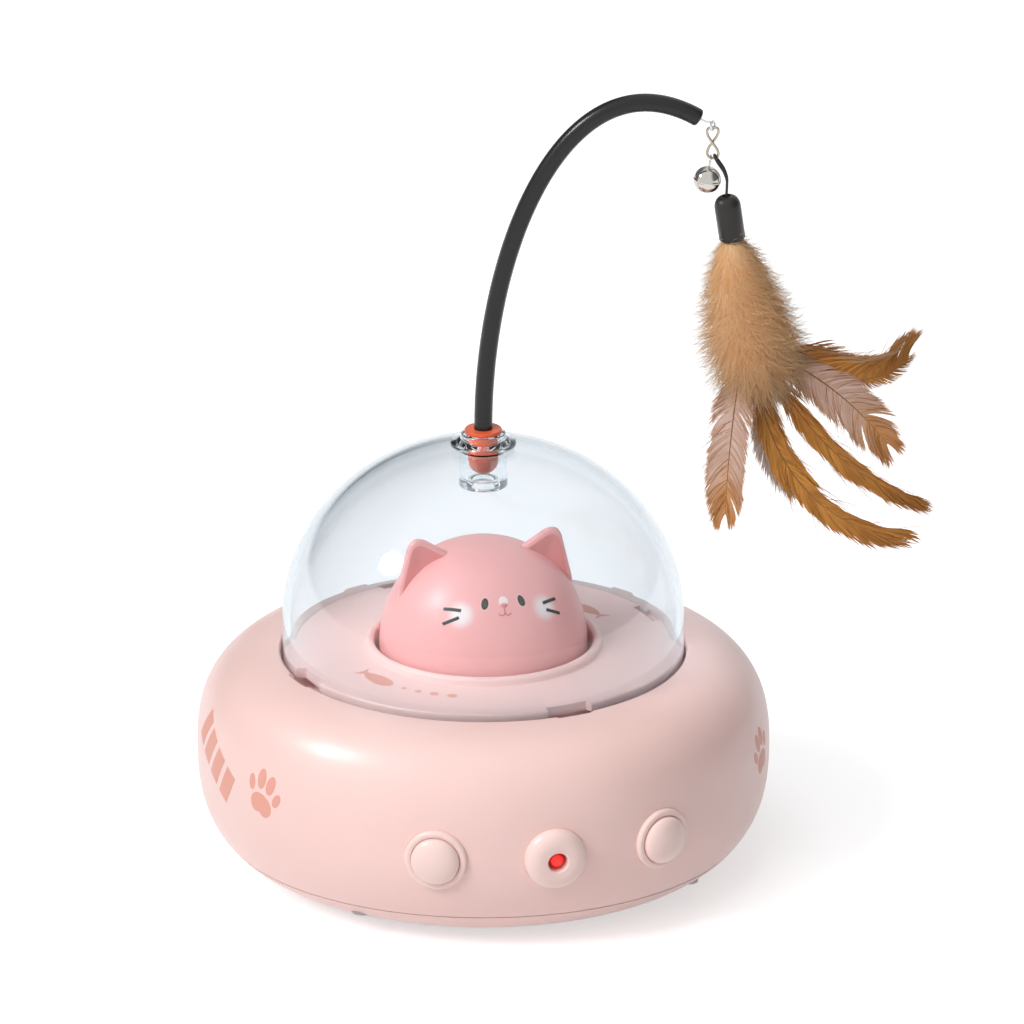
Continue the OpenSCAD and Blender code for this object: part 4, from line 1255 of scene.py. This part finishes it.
def printed(name, jobs, material, body, slot, ink=0.05 * mm, rings=5):
    """Lays outlines on a surface and gives them the thickness of ink."""
    points, faces = [], []
    for place, outline in jobs:
        count = len(outline)
        cx = sum(p[0] for p in outline) / count
        cy = sum(p[1] for p in outline) / count
        start = len(points)
        points.append(place(cx, cy))
        for r in range(1, rings + 1):
            share = r / rings
            points += [place(cx + share * (x - cx), cy + share * (y - cy)) for x, y in outline]
        faces += fan(start, start + 1, count)
        for r in range(rings - 1):
            faces += band(start + 1 + r * count, start + 1 + (r + 1) * count, count)
    piece = inked(name, points, faces, ink, smooth=True)
    work = bmesh.new()
    work.from_mesh(piece.data)
    bmesh.ops.recalc_face_normals(work, faces=work.faces)
    work.to_mesh(piece.data)
    work.free()
    piece.data.materials.append(material)
    register(crisp(piece, 50), body, slot)


side_prints = []
for turn, height, shapes in (
    (-154.6, 36.5, paw(1.38, -16)), (-175, 38.5, bars()), (-28.5, 37, paw(1.3, 14)),
    (22, 38, bars()), (48, 36.5, paw(1.38, -16)), (136, 36.5, paw(1.3, 14)),
):
    side_prints += [(on_saucer(turn, height * mm), shape) for shape in shapes]
printed("side_prints", side_prints, print_ink, "base", "pink_shell")

disc_prints = []
print_circle = 37 * mm
for turn in (-152, 28):
    disc_prints += [(on_disc(turn, print_circle), shape) for shape in fish()]
    for step, size in ((14, 1.2), (20.5, 1.6), (27.5, 2.0), (35, 2.3)):
        disc_prints.append((on_disc(turn + step, print_circle), oval(0, 0, size * 1.15, size)))
printed("face_prints", disc_prints, print_ink, "turntable", "pink_disc")
print("prints:", len(side_prints), "shapes on the saucer and", len(disc_prints), "on the turntable")

# %% [markdown]
# ## The cat's face
# Two dark oval eyes with pale rims, a small nose over a curled mouth, and two whiskers on each cheek. The
# eyes, whiskers and mouth are prints, and the nose is a small bead.

# %% Face
eye_brown = moulded("eye_brown", (0.045, 0.022, 0.014), 0.3, 0.2, 0.002 * mm)
eye_rim = moulded("eye_rim", (0.88, 0.62, 0.56), 0.45, grain=0.002 * mm)
whisker_black = moulded("whisker_black", (0.020, 0.015, 0.014), 0.45, 0.2, 0.002 * mm)
mouth_red = moulded("mouth_red", (0.62, 0.13, 0.13), 0.45, grain=0.002 * mm)
nose_rose = moulded("nose_rose", (0.80, 0.26, 0.25), 0.35, coat=0.2)
muzzle_pale = moulded("muzzle_pale", (0.93, 0.80, 0.77), 0.45, grain=0.002 * mm)


def stroke(points, width, per=10):
    """The two edges of a strip along a bent line."""
    path = through([Vector((x, y, 0)) for x, y in points], per)
    left, right = [], []
    for k, here in enumerate(path):
        along = (path[min(k + 1, len(path) - 1)] - path[max(k - 1, 0)]).normalized()
        side = Vector((-along.y, along.x, 0)) * width / 2
        left.append(here + side)
        right.append(here - side)
    return left, right


def printed_strokes(name, strokes, place, width, material, ink=0.07 * mm):
    """Lines laid on a surface as narrow strips."""
    points, faces = [], []
    for line in strokes:
        left, right = stroke(line, width)
        start = len(points)
        for a, b in zip(left, right):
            points += [place(a.x, a.y), place((a.x + b.x) / 2, (a.y + b.y) / 2), place(b.x, b.y)]
        for k in range(len(left) - 1):
            for c in range(2):
                i = start + 3 * k + c
                faces.append((i, i + 1, i + 4, i + 3))
    piece = inked(name, points, faces, ink, smooth=False)
    piece.data.materials.append(material)
    register(piece, "base", "head_pink")


eye_turn_on_head, eye_z = 13.4, 79.5 * mm
rims = [(on_head(side * eye_turn_on_head, eye_z), oval(0, 0, 2.3, 3.6, 8 * side)) for side in (-1, 1)]
pupils = [(on_head(side * eye_turn_on_head, eye_z), oval(0, 0, 1.9, 3.1, 8 * side)) for side in (-1, 1)]
printed("eye_rims", rims, eye_rim, "base", "head_pink", 0.05 * mm)
printed("eyes", pupils, eye_brown, "base", "head_pink", 0.09 * mm)
muzzle = [(on_head(0, 79.9 * mm), oval(0, 0, 2.5, 2.6))]
printed("muzzle", muzzle, muzzle_pale, "base", "head_pink", 0.05 * mm)
whiskers = [
    [(1.2, 1.2), (3.7, 1.2), (6.2, 1.0)],
    [(1.5, -0.8), (3.5, -2.0), (5.5, -3.3)],
]
for side, name in ((-1, "left"), (1, "right")):
    lines = [[(side * x, y) for x, y in line] for line in whiskers]
    printed_strokes(name + "_whiskers", lines, on_head(side * 26.5, 76.9 * mm), 0.9, whisker_black)
smile = [[(0, 1.5), (0, 0.2)], [(-1.7, 0.1), (-1.0, -0.5), (-0.3, -0.25), (0, 0.2)],
         [(1.7, 0.1), (1.0, -0.5), (0.3, -0.25), (0, 0.2)]]
printed_strokes("smile", smile, on_head(0, 77.2 * mm), 0.3, mouth_red)


def nose():
    made = bpy.data.meshes.new("nose")
    work = bmesh.new()
    bmesh.ops.create_uvsphere(work, u_segments=32, v_segments=20, radius=1)
    for vert in work.verts:
        narrow = 1 - 0.35 * max(0, -vert.co.z)
        vert.co = Vector((0.95 * narrow * vert.co.x, 0.45 * vert.co.y, 0.72 * vert.co.z)) * mm
    bmesh.ops.translate(work, vec=head_at(0, 79.0 * mm, 0.05 * mm), verts=work.verts)
    work.to_mesh(made)
    work.free()
    made.polygons.foreach_set("use_smooth", [True] * len(made.polygons))
    return made


finished("nose", nose(), nose_rose, "base", "head_pink")
print("face: eyes, nose, mouth and whiskers")

# %% [markdown]
# ## Fluff
# The quills come out of the cap in a ruff of down. A core holds its swelling shape, and Geometry Nodes grow
# thousands of fine hairs on it: points are scattered on the core, each gets a slim tapered blade that leans
# down the ruff, and the blades are made real so that they stay in the mesh. Each hair keeps a random number,
# which the finish uses to vary its tint.

# %% Hair blade and core
fluff_steps = [0, 0.08, 0.2, 0.38, 0.56, 0.74, 0.9, 1]
fluff_swell = [0.28, 0.45, 0.66, 0.84, 0.96, 1, 0.82, 0.45]
fluff_len, fluff_lean, fluff_r = 39, 3.3, 11.5


def blade(name, length, width, thick, bend, rings, taper, smooth):
    """A slim tapered blade along +X that bends towards +Y, closed at both ends."""
    sides = 3
    points, faces = [], []
    for k in range(rings):
        t = k / rings
        slim = (1 - t) ** taper
        x, y = length * t, bend * t * t
        for s in range(sides):
            turn = 2 * math.pi * s / sides
            across, up = width / 2 * slim * math.cos(turn), thick / 2 * slim * math.sin(turn)
            points.append(Vector((x, y + across, up)))
    points.append(Vector((length, bend, 0)))
    for k in range(rings - 1):
        a, b = k * sides, (k + 1) * sides
        faces += [(a + s, a + (s + 1) % sides, b + (s + 1) % sides, b + s) for s in range(sides)]
    last = (rings - 1) * sides
    faces += [(last + s, last + (s + 1) % sides, len(points) - 1) for s in range(sides)]
    faces.append(tuple(range(sides))[::-1])
    mesh = closed_mesh(name, points, faces, smooth)
    reach = mesh.attributes.new("reach", "FLOAT", "POINT")
    reach.data.foreach_set("value", [max(0.0, min(1.0, v.co.x / length)) for v in mesh.vertices])
    tool = bpy.data.objects.new(name, mesh)
    bpy.context.scene.collection.objects.link(tool)
    return tool


def fluff_core(share):
    """The ruff's body, drawn in to leave room for the hairs."""
    stations = [Vector((s, w, 0)) for s, w in zip(fluff_steps, fluff_swell)]
    path, radii = [], []
    for here in through(stations, 5):
        local = Vector((fluff_lean * max(0, here.x) ** 2.5, 0, -cap_h - fluff_len * here.x)) * mm
        path.append(cap_place @ local)
        radii.append(max(0.4, share * here.y * fluff_r) * mm)
    return swept("core", path, radii, 28, across=rod_depth)


core = fluff_core(0.70)
print("fluff core:", len(core.vertices), "points")


# %% Fur tree
def group_tree(name, sockets):
    """An empty Geometry Nodes tree with named inputs and one geometry output."""
    tree = bpy.data.node_groups.new(name, "GeometryNodeTree")
    tree.interface.new_socket("Geometry", in_out="INPUT", socket_type="NodeSocketGeometry")
    for label, kind in sockets:
        tree.interface.new_socket(label, in_out="INPUT", socket_type="NodeSocket" + kind)
    tree.interface.new_socket("Geometry", in_out="OUTPUT", socket_type="NodeSocketGeometry")
    start = tree.nodes.new("NodeGroupInput")
    end = tree.nodes.new("NodeGroupOutput")
    return tree, start.outputs, end.inputs


def random_between(tree, low, high, seed):
    given = {2: low, 3: high, "Seed": seed}
    return add_node(tree, "FunctionNodeRandomValue", given, data_type="FLOAT").outputs[1]


def random_vector(tree, spread, seed):
    given = {0: (-spread,) * 3, 1: (spread,) * 3, "Seed": seed}
    return add_node(tree, "FunctionNodeRandomValue", given, data_type="FLOAT_VECTOR").outputs[0]


def kept(tree, geometry, name, value, domain="INSTANCE", kind="FLOAT"):
    """Stores a value on a geometry under a name, for the finish to read."""
    given = {"Geometry": geometry, "Name": name, "Value": value}
    made = add_node(tree, "GeometryNodeStoreNamedAttribute", given, data_type=kind, domain=domain)
    return made.outputs[0]


def dressed(tree, parts, finish, result):
    """Gathers parts into one real mesh with a finish, as the tree's result."""
    gathered = tree.nodes.new("GeometryNodeJoinGeometry")
    for part in parts:
        tree.links.new(part, gathered.inputs[0])
    real = add_node(tree, "GeometryNodeRealizeInstances", {"Geometry": gathered.outputs[0]})
    made = add_node(tree, "GeometryNodeSetMaterial", {"Geometry": real.outputs[0], "Material": finish})
    tree.links.new(made.outputs[0], result["Geometry"])


def scaled(tree, vector, by):
    return add_node(tree, "ShaderNodeVectorMath", {0: vector, "Scale": by}, operation="SCALE").outputs[0]


def fur_tree():
    stray_seed, length_seed, tint_seed = 11, 5, 23
    tree, given, result = group_tree("fur", [
        ("Hairs per square metre", "Float"), ("Seed", "Int"), ("Lay", "Vector"), ("Stand", "Float"),
        ("Stray", "Float"), ("Top", "Float"), ("Foot", "Float"), ("Blade", "Object"), ("Finish", "Material"),
    ])
    scatter = add_node(tree, "GeometryNodeDistributePointsOnFaces", {
        "Mesh": given["Geometry"], "Density": given["Hairs per square metre"], "Seed": given["Seed"],
    })
    outward = scatter.outputs["Normal"]
    place = add_node(tree, "GeometryNodeInputPosition").outputs[0]
    lower = add_node(tree, "ShaderNodeMapRange", {
        "Value": add_node(tree, "ShaderNodeSeparateXYZ", {0: place}).outputs["Z"],
        "From Min": given["Top"], "From Max": given["Foot"], "To Min": 0.75, "To Max": 1.9,
    }).outputs["Result"]
    loosening = minus(tree, lower, 0.4)
    stray = scaled(tree, random_vector(tree, 1.0, stray_seed), times(tree, given["Stray"], loosening))
    stand = scaled(tree, outward, given["Stand"])
    way = vector_node(tree, "ADD", vector_node(tree, "ADD", stand, given["Lay"]), stray)
    turn = add_node(tree, "FunctionNodeAxesToRotation", {
        "Primary Axis": way, "Secondary Axis": outward,
    }, primary_axis="X", secondary_axis="Z")
    shape = add_node(tree, "GeometryNodeObjectInfo", {"Object": given["Blade"]})
    long = times(tree, random_between(tree, 0.6, 1.25, length_seed), lower)
    size = add_node(tree, "ShaderNodeCombineXYZ", {0: long, 1: 1.0, 2: 1.0})
    spread = add_node(tree, "GeometryNodeInstanceOnPoints", {
        "Points": scatter.outputs["Points"], "Instance": shape.outputs["Geometry"],
        "Rotation": turn.outputs[0], "Scale": size.outputs[0],
    })
    hairs = kept(tree, spread.outputs[0], "tint", random_between(tree, 0.0, 1.0, tint_seed))
    hairs = kept(tree, hairs, "facing", outward, kind="FLOAT_VECTOR")
    own = add_node(tree, "GeometryNodeInputNormal").outputs[0]
    skin = kept(tree, given["Geometry"], "facing", own, "POINT", "FLOAT_VECTOR")
    dressed(tree, (hairs, skin), given["Finish"], result)
    return tree


def grown(name, mesh, tree, values):
    """Runs a Geometry Nodes tree on a mesh and gives back the plain mesh that it makes."""
    host = bpy.data.objects.new(name, mesh)
    bpy.context.scene.collection.objects.link(host)
    change = host.modifiers.new("grow", "NODES")
    change.node_group = tree
    for item in tree.interface.items_tree:
        if item.in_out == "INPUT" and item.name in values:
            change[item.identifier] = values[item.name]
    graph = bpy.context.evaluated_depsgraph_get()
    made = bpy.data.meshes.new_from_object(host.evaluated_get(graph))
    made.name = name
    bpy.data.objects.remove(host)
    return made


def triangles(piece):
    return sum(len(face.vertices) - 2 for face in piece.data.polygons)


# %% [markdown]
# Down is a soft tan that varies from hair to hair and is paler at the tips. Light passes through the thin
# hairs, so part of the shading is translucent. The same recipe with other colours serves the feathers.

# %% Fur finish
root_brown = (0.34, 0.15, 0.05, 1)
quill_brown = (0.30, 0.14, 0.06, 1)
shadow_pass = 0.95


def barb_finish(name, pale, deep, tip, glow, far=None, soft=False):
    """Hair or barb: a tint that varies from strand to strand and changes towards the strand's tip.

    far is the colour at the feather's far end, and the quill in its middle is dark. Soft hair is shaded
    mostly as the skin under it would be, and lets most of the light through to the hairs below.
    """
    material, tree, shader = new_finish(name)
    tint, reach, along, quill = (
        add_node(tree, "ShaderNodeAttribute", attribute_name=key).outputs["Fac"]
        for key in ("tint", "reach", "along", "quill")
    )
    clouds = noise(tree, object_coords(tree), 7 * mm)
    share = plus(tree, times(tree, tint, 0.5), times(tree, clouds, 0.6))
    colour = mix_colour(tree, step_between(tree, share, 0.25, 0.85), pale, deep)
    colour = mix_colour(tree, step_between(tree, reach, 0.45, 1.0, 0.0, 0.65), colour, tip)
    if far:
        wander = plus(tree, along, times(tree, clouds, 0.3))
        colour = mix_colour(tree, step_between(tree, wander, 0.72, 1.05, 0.0, 0.8), colour, far)
        colour = mix_colour(tree, step_between(tree, wander, 0.42, 0.12, 0.0, 0.55), colour, root_brown)
    colour = mix_colour(tree, quill, colour, quill_brown)
    feed_all(tree, shader, {"Base Color": colour, "Roughness": 0.7, "Specular IOR Level": 0.25})
    through_light = add_node(tree, "ShaderNodeBsdfTranslucent", {"Color": colour})
    if soft:
        facing = add_node(tree, "ShaderNodeAttribute", attribute_name="facing").outputs["Vector"]
        turned_out = add_node(
            tree, "ShaderNodeVectorTransform", {0: facing}, vector_type="NORMAL", convert_from="OBJECT",
            convert_to="WORLD",
        ).outputs[0]
        own = add_node(tree, "ShaderNodeNewGeometry").outputs["Normal"]
        both = vector_node(tree, "NORMALIZE", vector_node(tree, "ADD", scaled(tree, turned_out, 1.6), own))
        tree.links.new(both, shader.inputs["Normal"])
    mixed = add_node(tree, "ShaderNodeMixShader", {
        0: glow, 1: shader.outputs[0], 2: through_light.outputs[0],
    })
    if soft:
        path = add_node(tree, "ShaderNodeLightPath").outputs["Is Shadow Ray"]
        clear = add_node(tree, "ShaderNodeBsdfTransparent", {"Color": (1, 0.9, 0.8, 1)})
        mixed = add_node(tree, "ShaderNodeMixShader", {
            0: times(tree, path, shadow_pass), 1: mixed.outputs[0], 2: clear.outputs[0],
        })
    tree.links.new(mixed.outputs[0], tree.nodes["Material Output"].inputs["Surface"])
    return material


tan_down = barb_finish(
    "tan_fluff", (1.0, 0.74, 0.46, 1), (0.92, 0.54, 0.25, 1), (1.0, 0.76, 0.50, 1), 0.2, soft=True
)

# %% Grow the fluff
hair = blade("hair_tool", 6.0 * mm, 0.15 * mm, 0.12 * mm, 1.9 * mm, 3, 0.6, smooth=True)
down_way = -(cap_place.to_3x3() @ Vector((0, 0, 1)))
fluff_low, fluff_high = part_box("fluff")
fluff_mesh = grown("fluff_down", core, fur_tree(), {
    "Hairs per square metre": 5.6e6, "Seed": 3, "Lay": tuple(0.9 * down_way), "Stand": 0.75, "Stray": 1.0,
    "Top": fluff_high.z, "Foot": fluff_low.z, "Blade": hair, "Finish": tan_down,
})
fluff = finished("fluff_down", fluff_mesh, None, "lure", "tan_fluff", "fluff")
print("fluff:", triangles(fluff), "triangles")

# %% [markdown]
# ## Feathers
# A feather is a quill with rows of barbs on both sides. Geometry Nodes set the barbs along the quill's
# curve: each leans forward, their length follows the feather's outline, and groups of them part a little, as
# the barbs of a worn feather do. Each feather has its own curve, width and colours.

# %% Feather tree
def feather_tree():
    group_seed, lean_seed, lift_seed, length_seed, tint_seed = 9, 30, 50, 70, 90
    tree, given, result = group_tree("feather", [
        ("Barbs", "Int"), ("Left length", "Float"), ("Right length", "Float"), ("Flat", "Vector"),
        ("Lean", "Float"), ("Split", "Float"), ("Groups", "Float"), ("Fray", "Float"), ("Seed", "Int"),
        ("Left", "Object"), ("Right", "Object"), ("Quill", "Float"), ("Finish", "Material"),
    ])
    line = add_node(tree, "GeometryNodeMeshToCurve", {"Mesh": given["Geometry"]})
    even = add_node(tree, "GeometryNodeResampleCurve", {"Curve": line.outputs[0], "Count": given["Barbs"]})
    along = add_node(tree, "GeometryNodeSplineParameter").outputs["Factor"]
    tangent = add_node(tree, "GeometryNodeInputTangent").outputs[0]
    outline = add_node(tree, "ShaderNodeFloatCurve", {"Value": along})
    curve = outline.mapping.curves[0]
    curve.points[0].location = (0.0, 0.7)
    curve.points[1].location = (1.0, 0.6)
    for at in ((0.25, 0.95), (0.5, 1.0), (0.8, 0.98), (0.93, 0.82)):
        curve.points.new(*at)
    outline.mapping.update()
    far_end = math_node(tree, "POWER", along, 3.0)
    near_root = math_node(tree, "POWER", minus(tree, 1.0, along), 4.0)
    loose = plus(tree, times(tree, far_end, given["Fray"]), times(tree, near_root, 0.4))
    loose = plus(tree, loose, 0.02)
    tuck = minus(tree, 1.0, times(tree, far_end, 0.45))
    shapes = []
    for side, label, seed in ((1.0, "Left", 1), (-1.0, "Right", 2)):
        ragged = times(tree, random_between(tree, -0.5, 0.5, group_seed + seed), 0.06)
        bundle = math_node(tree, "FLOOR", plus(tree, times(tree, along, given["Groups"]), ragged))
        number = plus(tree, bundle, plus(tree, given["Seed"], 40.0 * seed))
        wave = add_node(tree, "ShaderNodeTexWhiteNoise", {"W": number}, noise_dimensions="1D")
        parting = times(tree, minus(tree, wave.outputs["Value"], 0.5), given["Split"])
        own = times(tree, random_between(tree, -0.5, 0.5, lean_seed + seed), loose)
        lean = plus(tree, plus(tree, times(tree, given["Lean"], tuck), parting), own)
        across = scaled(tree, vector_node(tree, "CROSS_PRODUCT", given["Flat"], tangent), side)
        way = vector_node(
            tree, "ADD",
            scaled(tree, tangent, math_node(tree, "COSINE", lean)),
            scaled(tree, across, math_node(tree, "SINE", lean)),
        )
        lift = times(tree, random_between(tree, -0.5, 0.5, lift_seed + seed), loose)
        lifted = vector_node(tree, "ADD", way, scaled(tree, given["Flat"], lift))
        turn = add_node(tree, "FunctionNodeAxesToRotation", {
            "Primary Axis": lifted, "Secondary Axis": given["Flat"],
        }, primary_axis="X", secondary_axis="Z")
        uneven = times(tree, random_between(tree, -0.6, 0.3, length_seed + seed), loose)
        long = times(tree, outline.outputs[0], given[label + " length"])
        long = times(tree, long, plus(tree, 1.0, uneven))
        size = add_node(tree, "ShaderNodeCombineXYZ", {0: long, 1: long, 2: 1.0})
        tool = add_node(tree, "GeometryNodeObjectInfo", {"Object": given[label]})
        rows = add_node(tree, "GeometryNodeInstanceOnPoints", {
            "Points": even.outputs[0], "Instance": tool.outputs["Geometry"], "Rotation": turn.outputs[0],
            "Scale": size.outputs[0],
        })
        tinted = kept(tree, rows.outputs[0], "tint", random_between(tree, 0.0, 1.0, tint_seed + seed))
        index = add_node(tree, "GeometryNodeInputIndex").outputs[0]
        share = math_node(tree, "DIVIDE", index, minus(tree, given["Barbs"], 1.0))
        shapes.append(kept(tree, tinted, "along", share))
    taper = minus(tree, 1.0, times(tree, along, 0.8))
    circle = add_node(tree, "GeometryNodeCurvePrimitiveCircle", {"Resolution": 8, "Radius": 1.0})
    quill = add_node(tree, "GeometryNodeCurveToMesh", {
        "Curve": line.outputs[0], "Profile Curve": circle.outputs["Curve"],
        "Scale": times(tree, given["Quill"], taper), "Fill Caps": True,
    })
    shapes.append(kept(tree, quill.outputs[0], "quill", 1.0, "POINT"))
    dressed(tree, shapes, given["Finish"], result)
    return tree


# %% Feather colours and shapes
gold = (0.72, 0.33, 0.075, 1)
brown = (0.46, 0.19, 0.045, 1)
grey_brown = (0.62, 0.44, 0.32, 1)
rose = (0.82, 0.63, 0.55, 1)
golden = barb_finish("golden_feather", gold, brown, gold, 0.2, brown)
frayed = barb_finish("frayed_feather", gold, brown, grey_brown, 0.2, brown)
rosy = barb_finish("rosy_feather", rose, (0.70, 0.48, 0.37, 1), (0.74, 0.46, 0.28, 1), 0.3, gold)
pale = barb_finish("pale_feather", (0.97, 0.91, 0.87, 1), (0.92, 0.82, 0.74, 1), (0.94, 0.85, 0.78, 1), 0.3)
feather_root = cap_at + Vector((8, 0, -cap_h - fluff_len + 8))
barb_length, curve_steps = 10, 50
barbs, wisps = {}, {}
for side, sign in (("Left", -1), ("Right", 1)):
    long = barb_length * mm
    barbs[side] = blade("barb_" + side, long, 0.8 * mm, 0.06 * mm, sign * 2.6 * mm, 5, 0.4, smooth=False)
    wisps[side] = blade("wisp_" + side, long, 0.16 * mm, 0.10 * mm, sign * 3.4 * mm, 5, 0.5, smooth=True)


def feather(points, share, left, right, finish, lean, split, fray, tilt):
    """What sets a feather: its curve, the quill's share of the curve, the barbs' lengths on both sides in
    millimetres, its finish, and how far the barbs lean, part in groups, fray and tilt.
    """
    return {"points": points, "share": share, "left": left, "right": right, "finish": finish, "lean": lean,
            "split": split, "fray": fray, "tilt": tilt}


feathers = {
    "feather_1": feather(
        [(10, 2.4, 0.1), (20, 4, -10.5), (34, 6, -15.3), (43, 8, 0.9)],
        0.90, 12.5, 4.5, frayed, 1.2, 0.3, 0.3, 0.2,
    ),
    "feather_2": feather(
        [(7, 1.2, -2.5), (16, 2, -7.8), (26, 3, -15.2), (35, 4, -28.5)],
        0.98, 9.5, 10.5, rosy, 1.0, 0.3, 0.25, -0.4,
    ),
    "feather_3": feather(
        [(5, -0.1, -6), (12, -0.4, -21.8), (27, -0.8, -37.7), (46, -1.2, -42.5)],
        0.92, 10.5, 11.5, golden, 0.55, 0.16, 0.3, 0.45,
    ),
    "feather_4": feather(
        [(0, -1.6, -5.4), (2, -3, -24.8), (13, -4.6, -48.2), (40, -6.5, -49.5)],
        0.96, 13, 11, golden, 0.55, 0.16, 0.3, -0.35,
    ),
    "feather_5": feather(
        [(-4, -3.4, -2.7), (-6, -5, -16.1), (-7.5, -6.4, -29.5), (-8, -7.6, -44.1)],
        0.98, 8.5, 10, rosy, 1.0, 0.30, 0.12, 0.5,
    ),
    "feather_6": feather(
        [(2, 3.6, -7.4), (1, 5.4, -18.1), (3, 7, -29.7), (10, 8.6, -41.3)],
        0.95, 9, 9, pale, 0.8, 0.4, 0.6, -0.5,
    ),
}
tree_of_barbs = feather_tree()
wisp_length = 8.6
for order, (name, one) in enumerate(feathers.items()):
    whole = bezier([Vector(p) for p in one["points"]], curve_steps)
    path = [in_rod_plane(*(feather_root + p)) for p in whole[:round(curve_steps * one["share"])]]
    across = rod_depth.cross(path[-1] - path[0]).normalized()
    flat = (one["tilt"] * across - rod_depth).normalized()
    line = bpy.data.meshes.new(name)
    line.from_pydata([tuple(p) for p in path], [(k, k + 1) for k in range(len(path) - 1)], [])
    mesh = grown(name + "_barbs", line, tree_of_barbs, {
        "Barbs": 230, "Left length": one["left"] / barb_length, "Right length": one["right"] / barb_length,
        "Flat": tuple(flat), "Lean": one["lean"], "Split": one["split"], "Groups": 7.0, "Fray": one["fray"],
        "Seed": 5 + order, "Quill": 0.22 * mm, "Finish": one["finish"], **barbs,
    })
    vane = finished(name + "_vane", mesh, None, "lure", "brown_feather", name)
    print(name, triangles(vane), "triangles")
    mesh = grown(name + "_wisps", line, tree_of_barbs, {
        "Barbs": 64, "Left length": one["left"] / wisp_length, "Right length": one["right"] / wisp_length,
        "Flat": tuple(flat), "Lean": one["lean"] + 0.12, "Split": 0.35, "Groups": 40.0, "Fray": 0.6,
        "Seed": 50 + order, "Quill": 0.1 * mm, "Finish": frayed, **wisps,
    })
    finished(name + "_wisps", mesh, None, "lure", "brown_feather")
for tool in (hair, *barbs.values(), *wisps.values()):
    bpy.data.objects.remove(tool)

# %% [markdown]
# ## Hidden parts
# The parts inside and under the saucer keep their CAD shapes and get a fitting finish.

# %% Finishes of the CAD parts
cad_finishes = {
    "rubber_feet": grey_rubber, "base_screws": dark_steel, "deck": white_plastic, "deck_screws": steel,
    "thrust_washer": white_plastic, "post_clip": steel, "motor": steel, "gear_pin": steel,
    "battery": battery_wrap, "control_board": board_green, "usb_port": steel, "laser_module": brass,
    "mode_switch": black_plastic, "power_switch": black_plastic, "motor_shaft": steel, "motor_pinion": brass,
    "reduction_gear": white_plastic, "drive_gear": white_plastic, "bell_ball": steel,
}
for name, finish in cad_finishes.items():
    mesh = frame["nodes"][name].data
    mesh.materials.clear()
    mesh.materials.append(finish)
print("CAD parts dressed:", len(cad_finishes))

# %% [markdown]
# ## Sizes
# The dressed toy's box is compared with the CAD model's box, and how far it grows at each end is printed.

# %% Sizes and finish
new_low, new_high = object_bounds()
for label, growth in (("low", cad_low - new_low), ("high", new_high - cad_high)):
    print("box grows at its", label, "end by", [round(x / mm, 1) for x in growth], "mm")
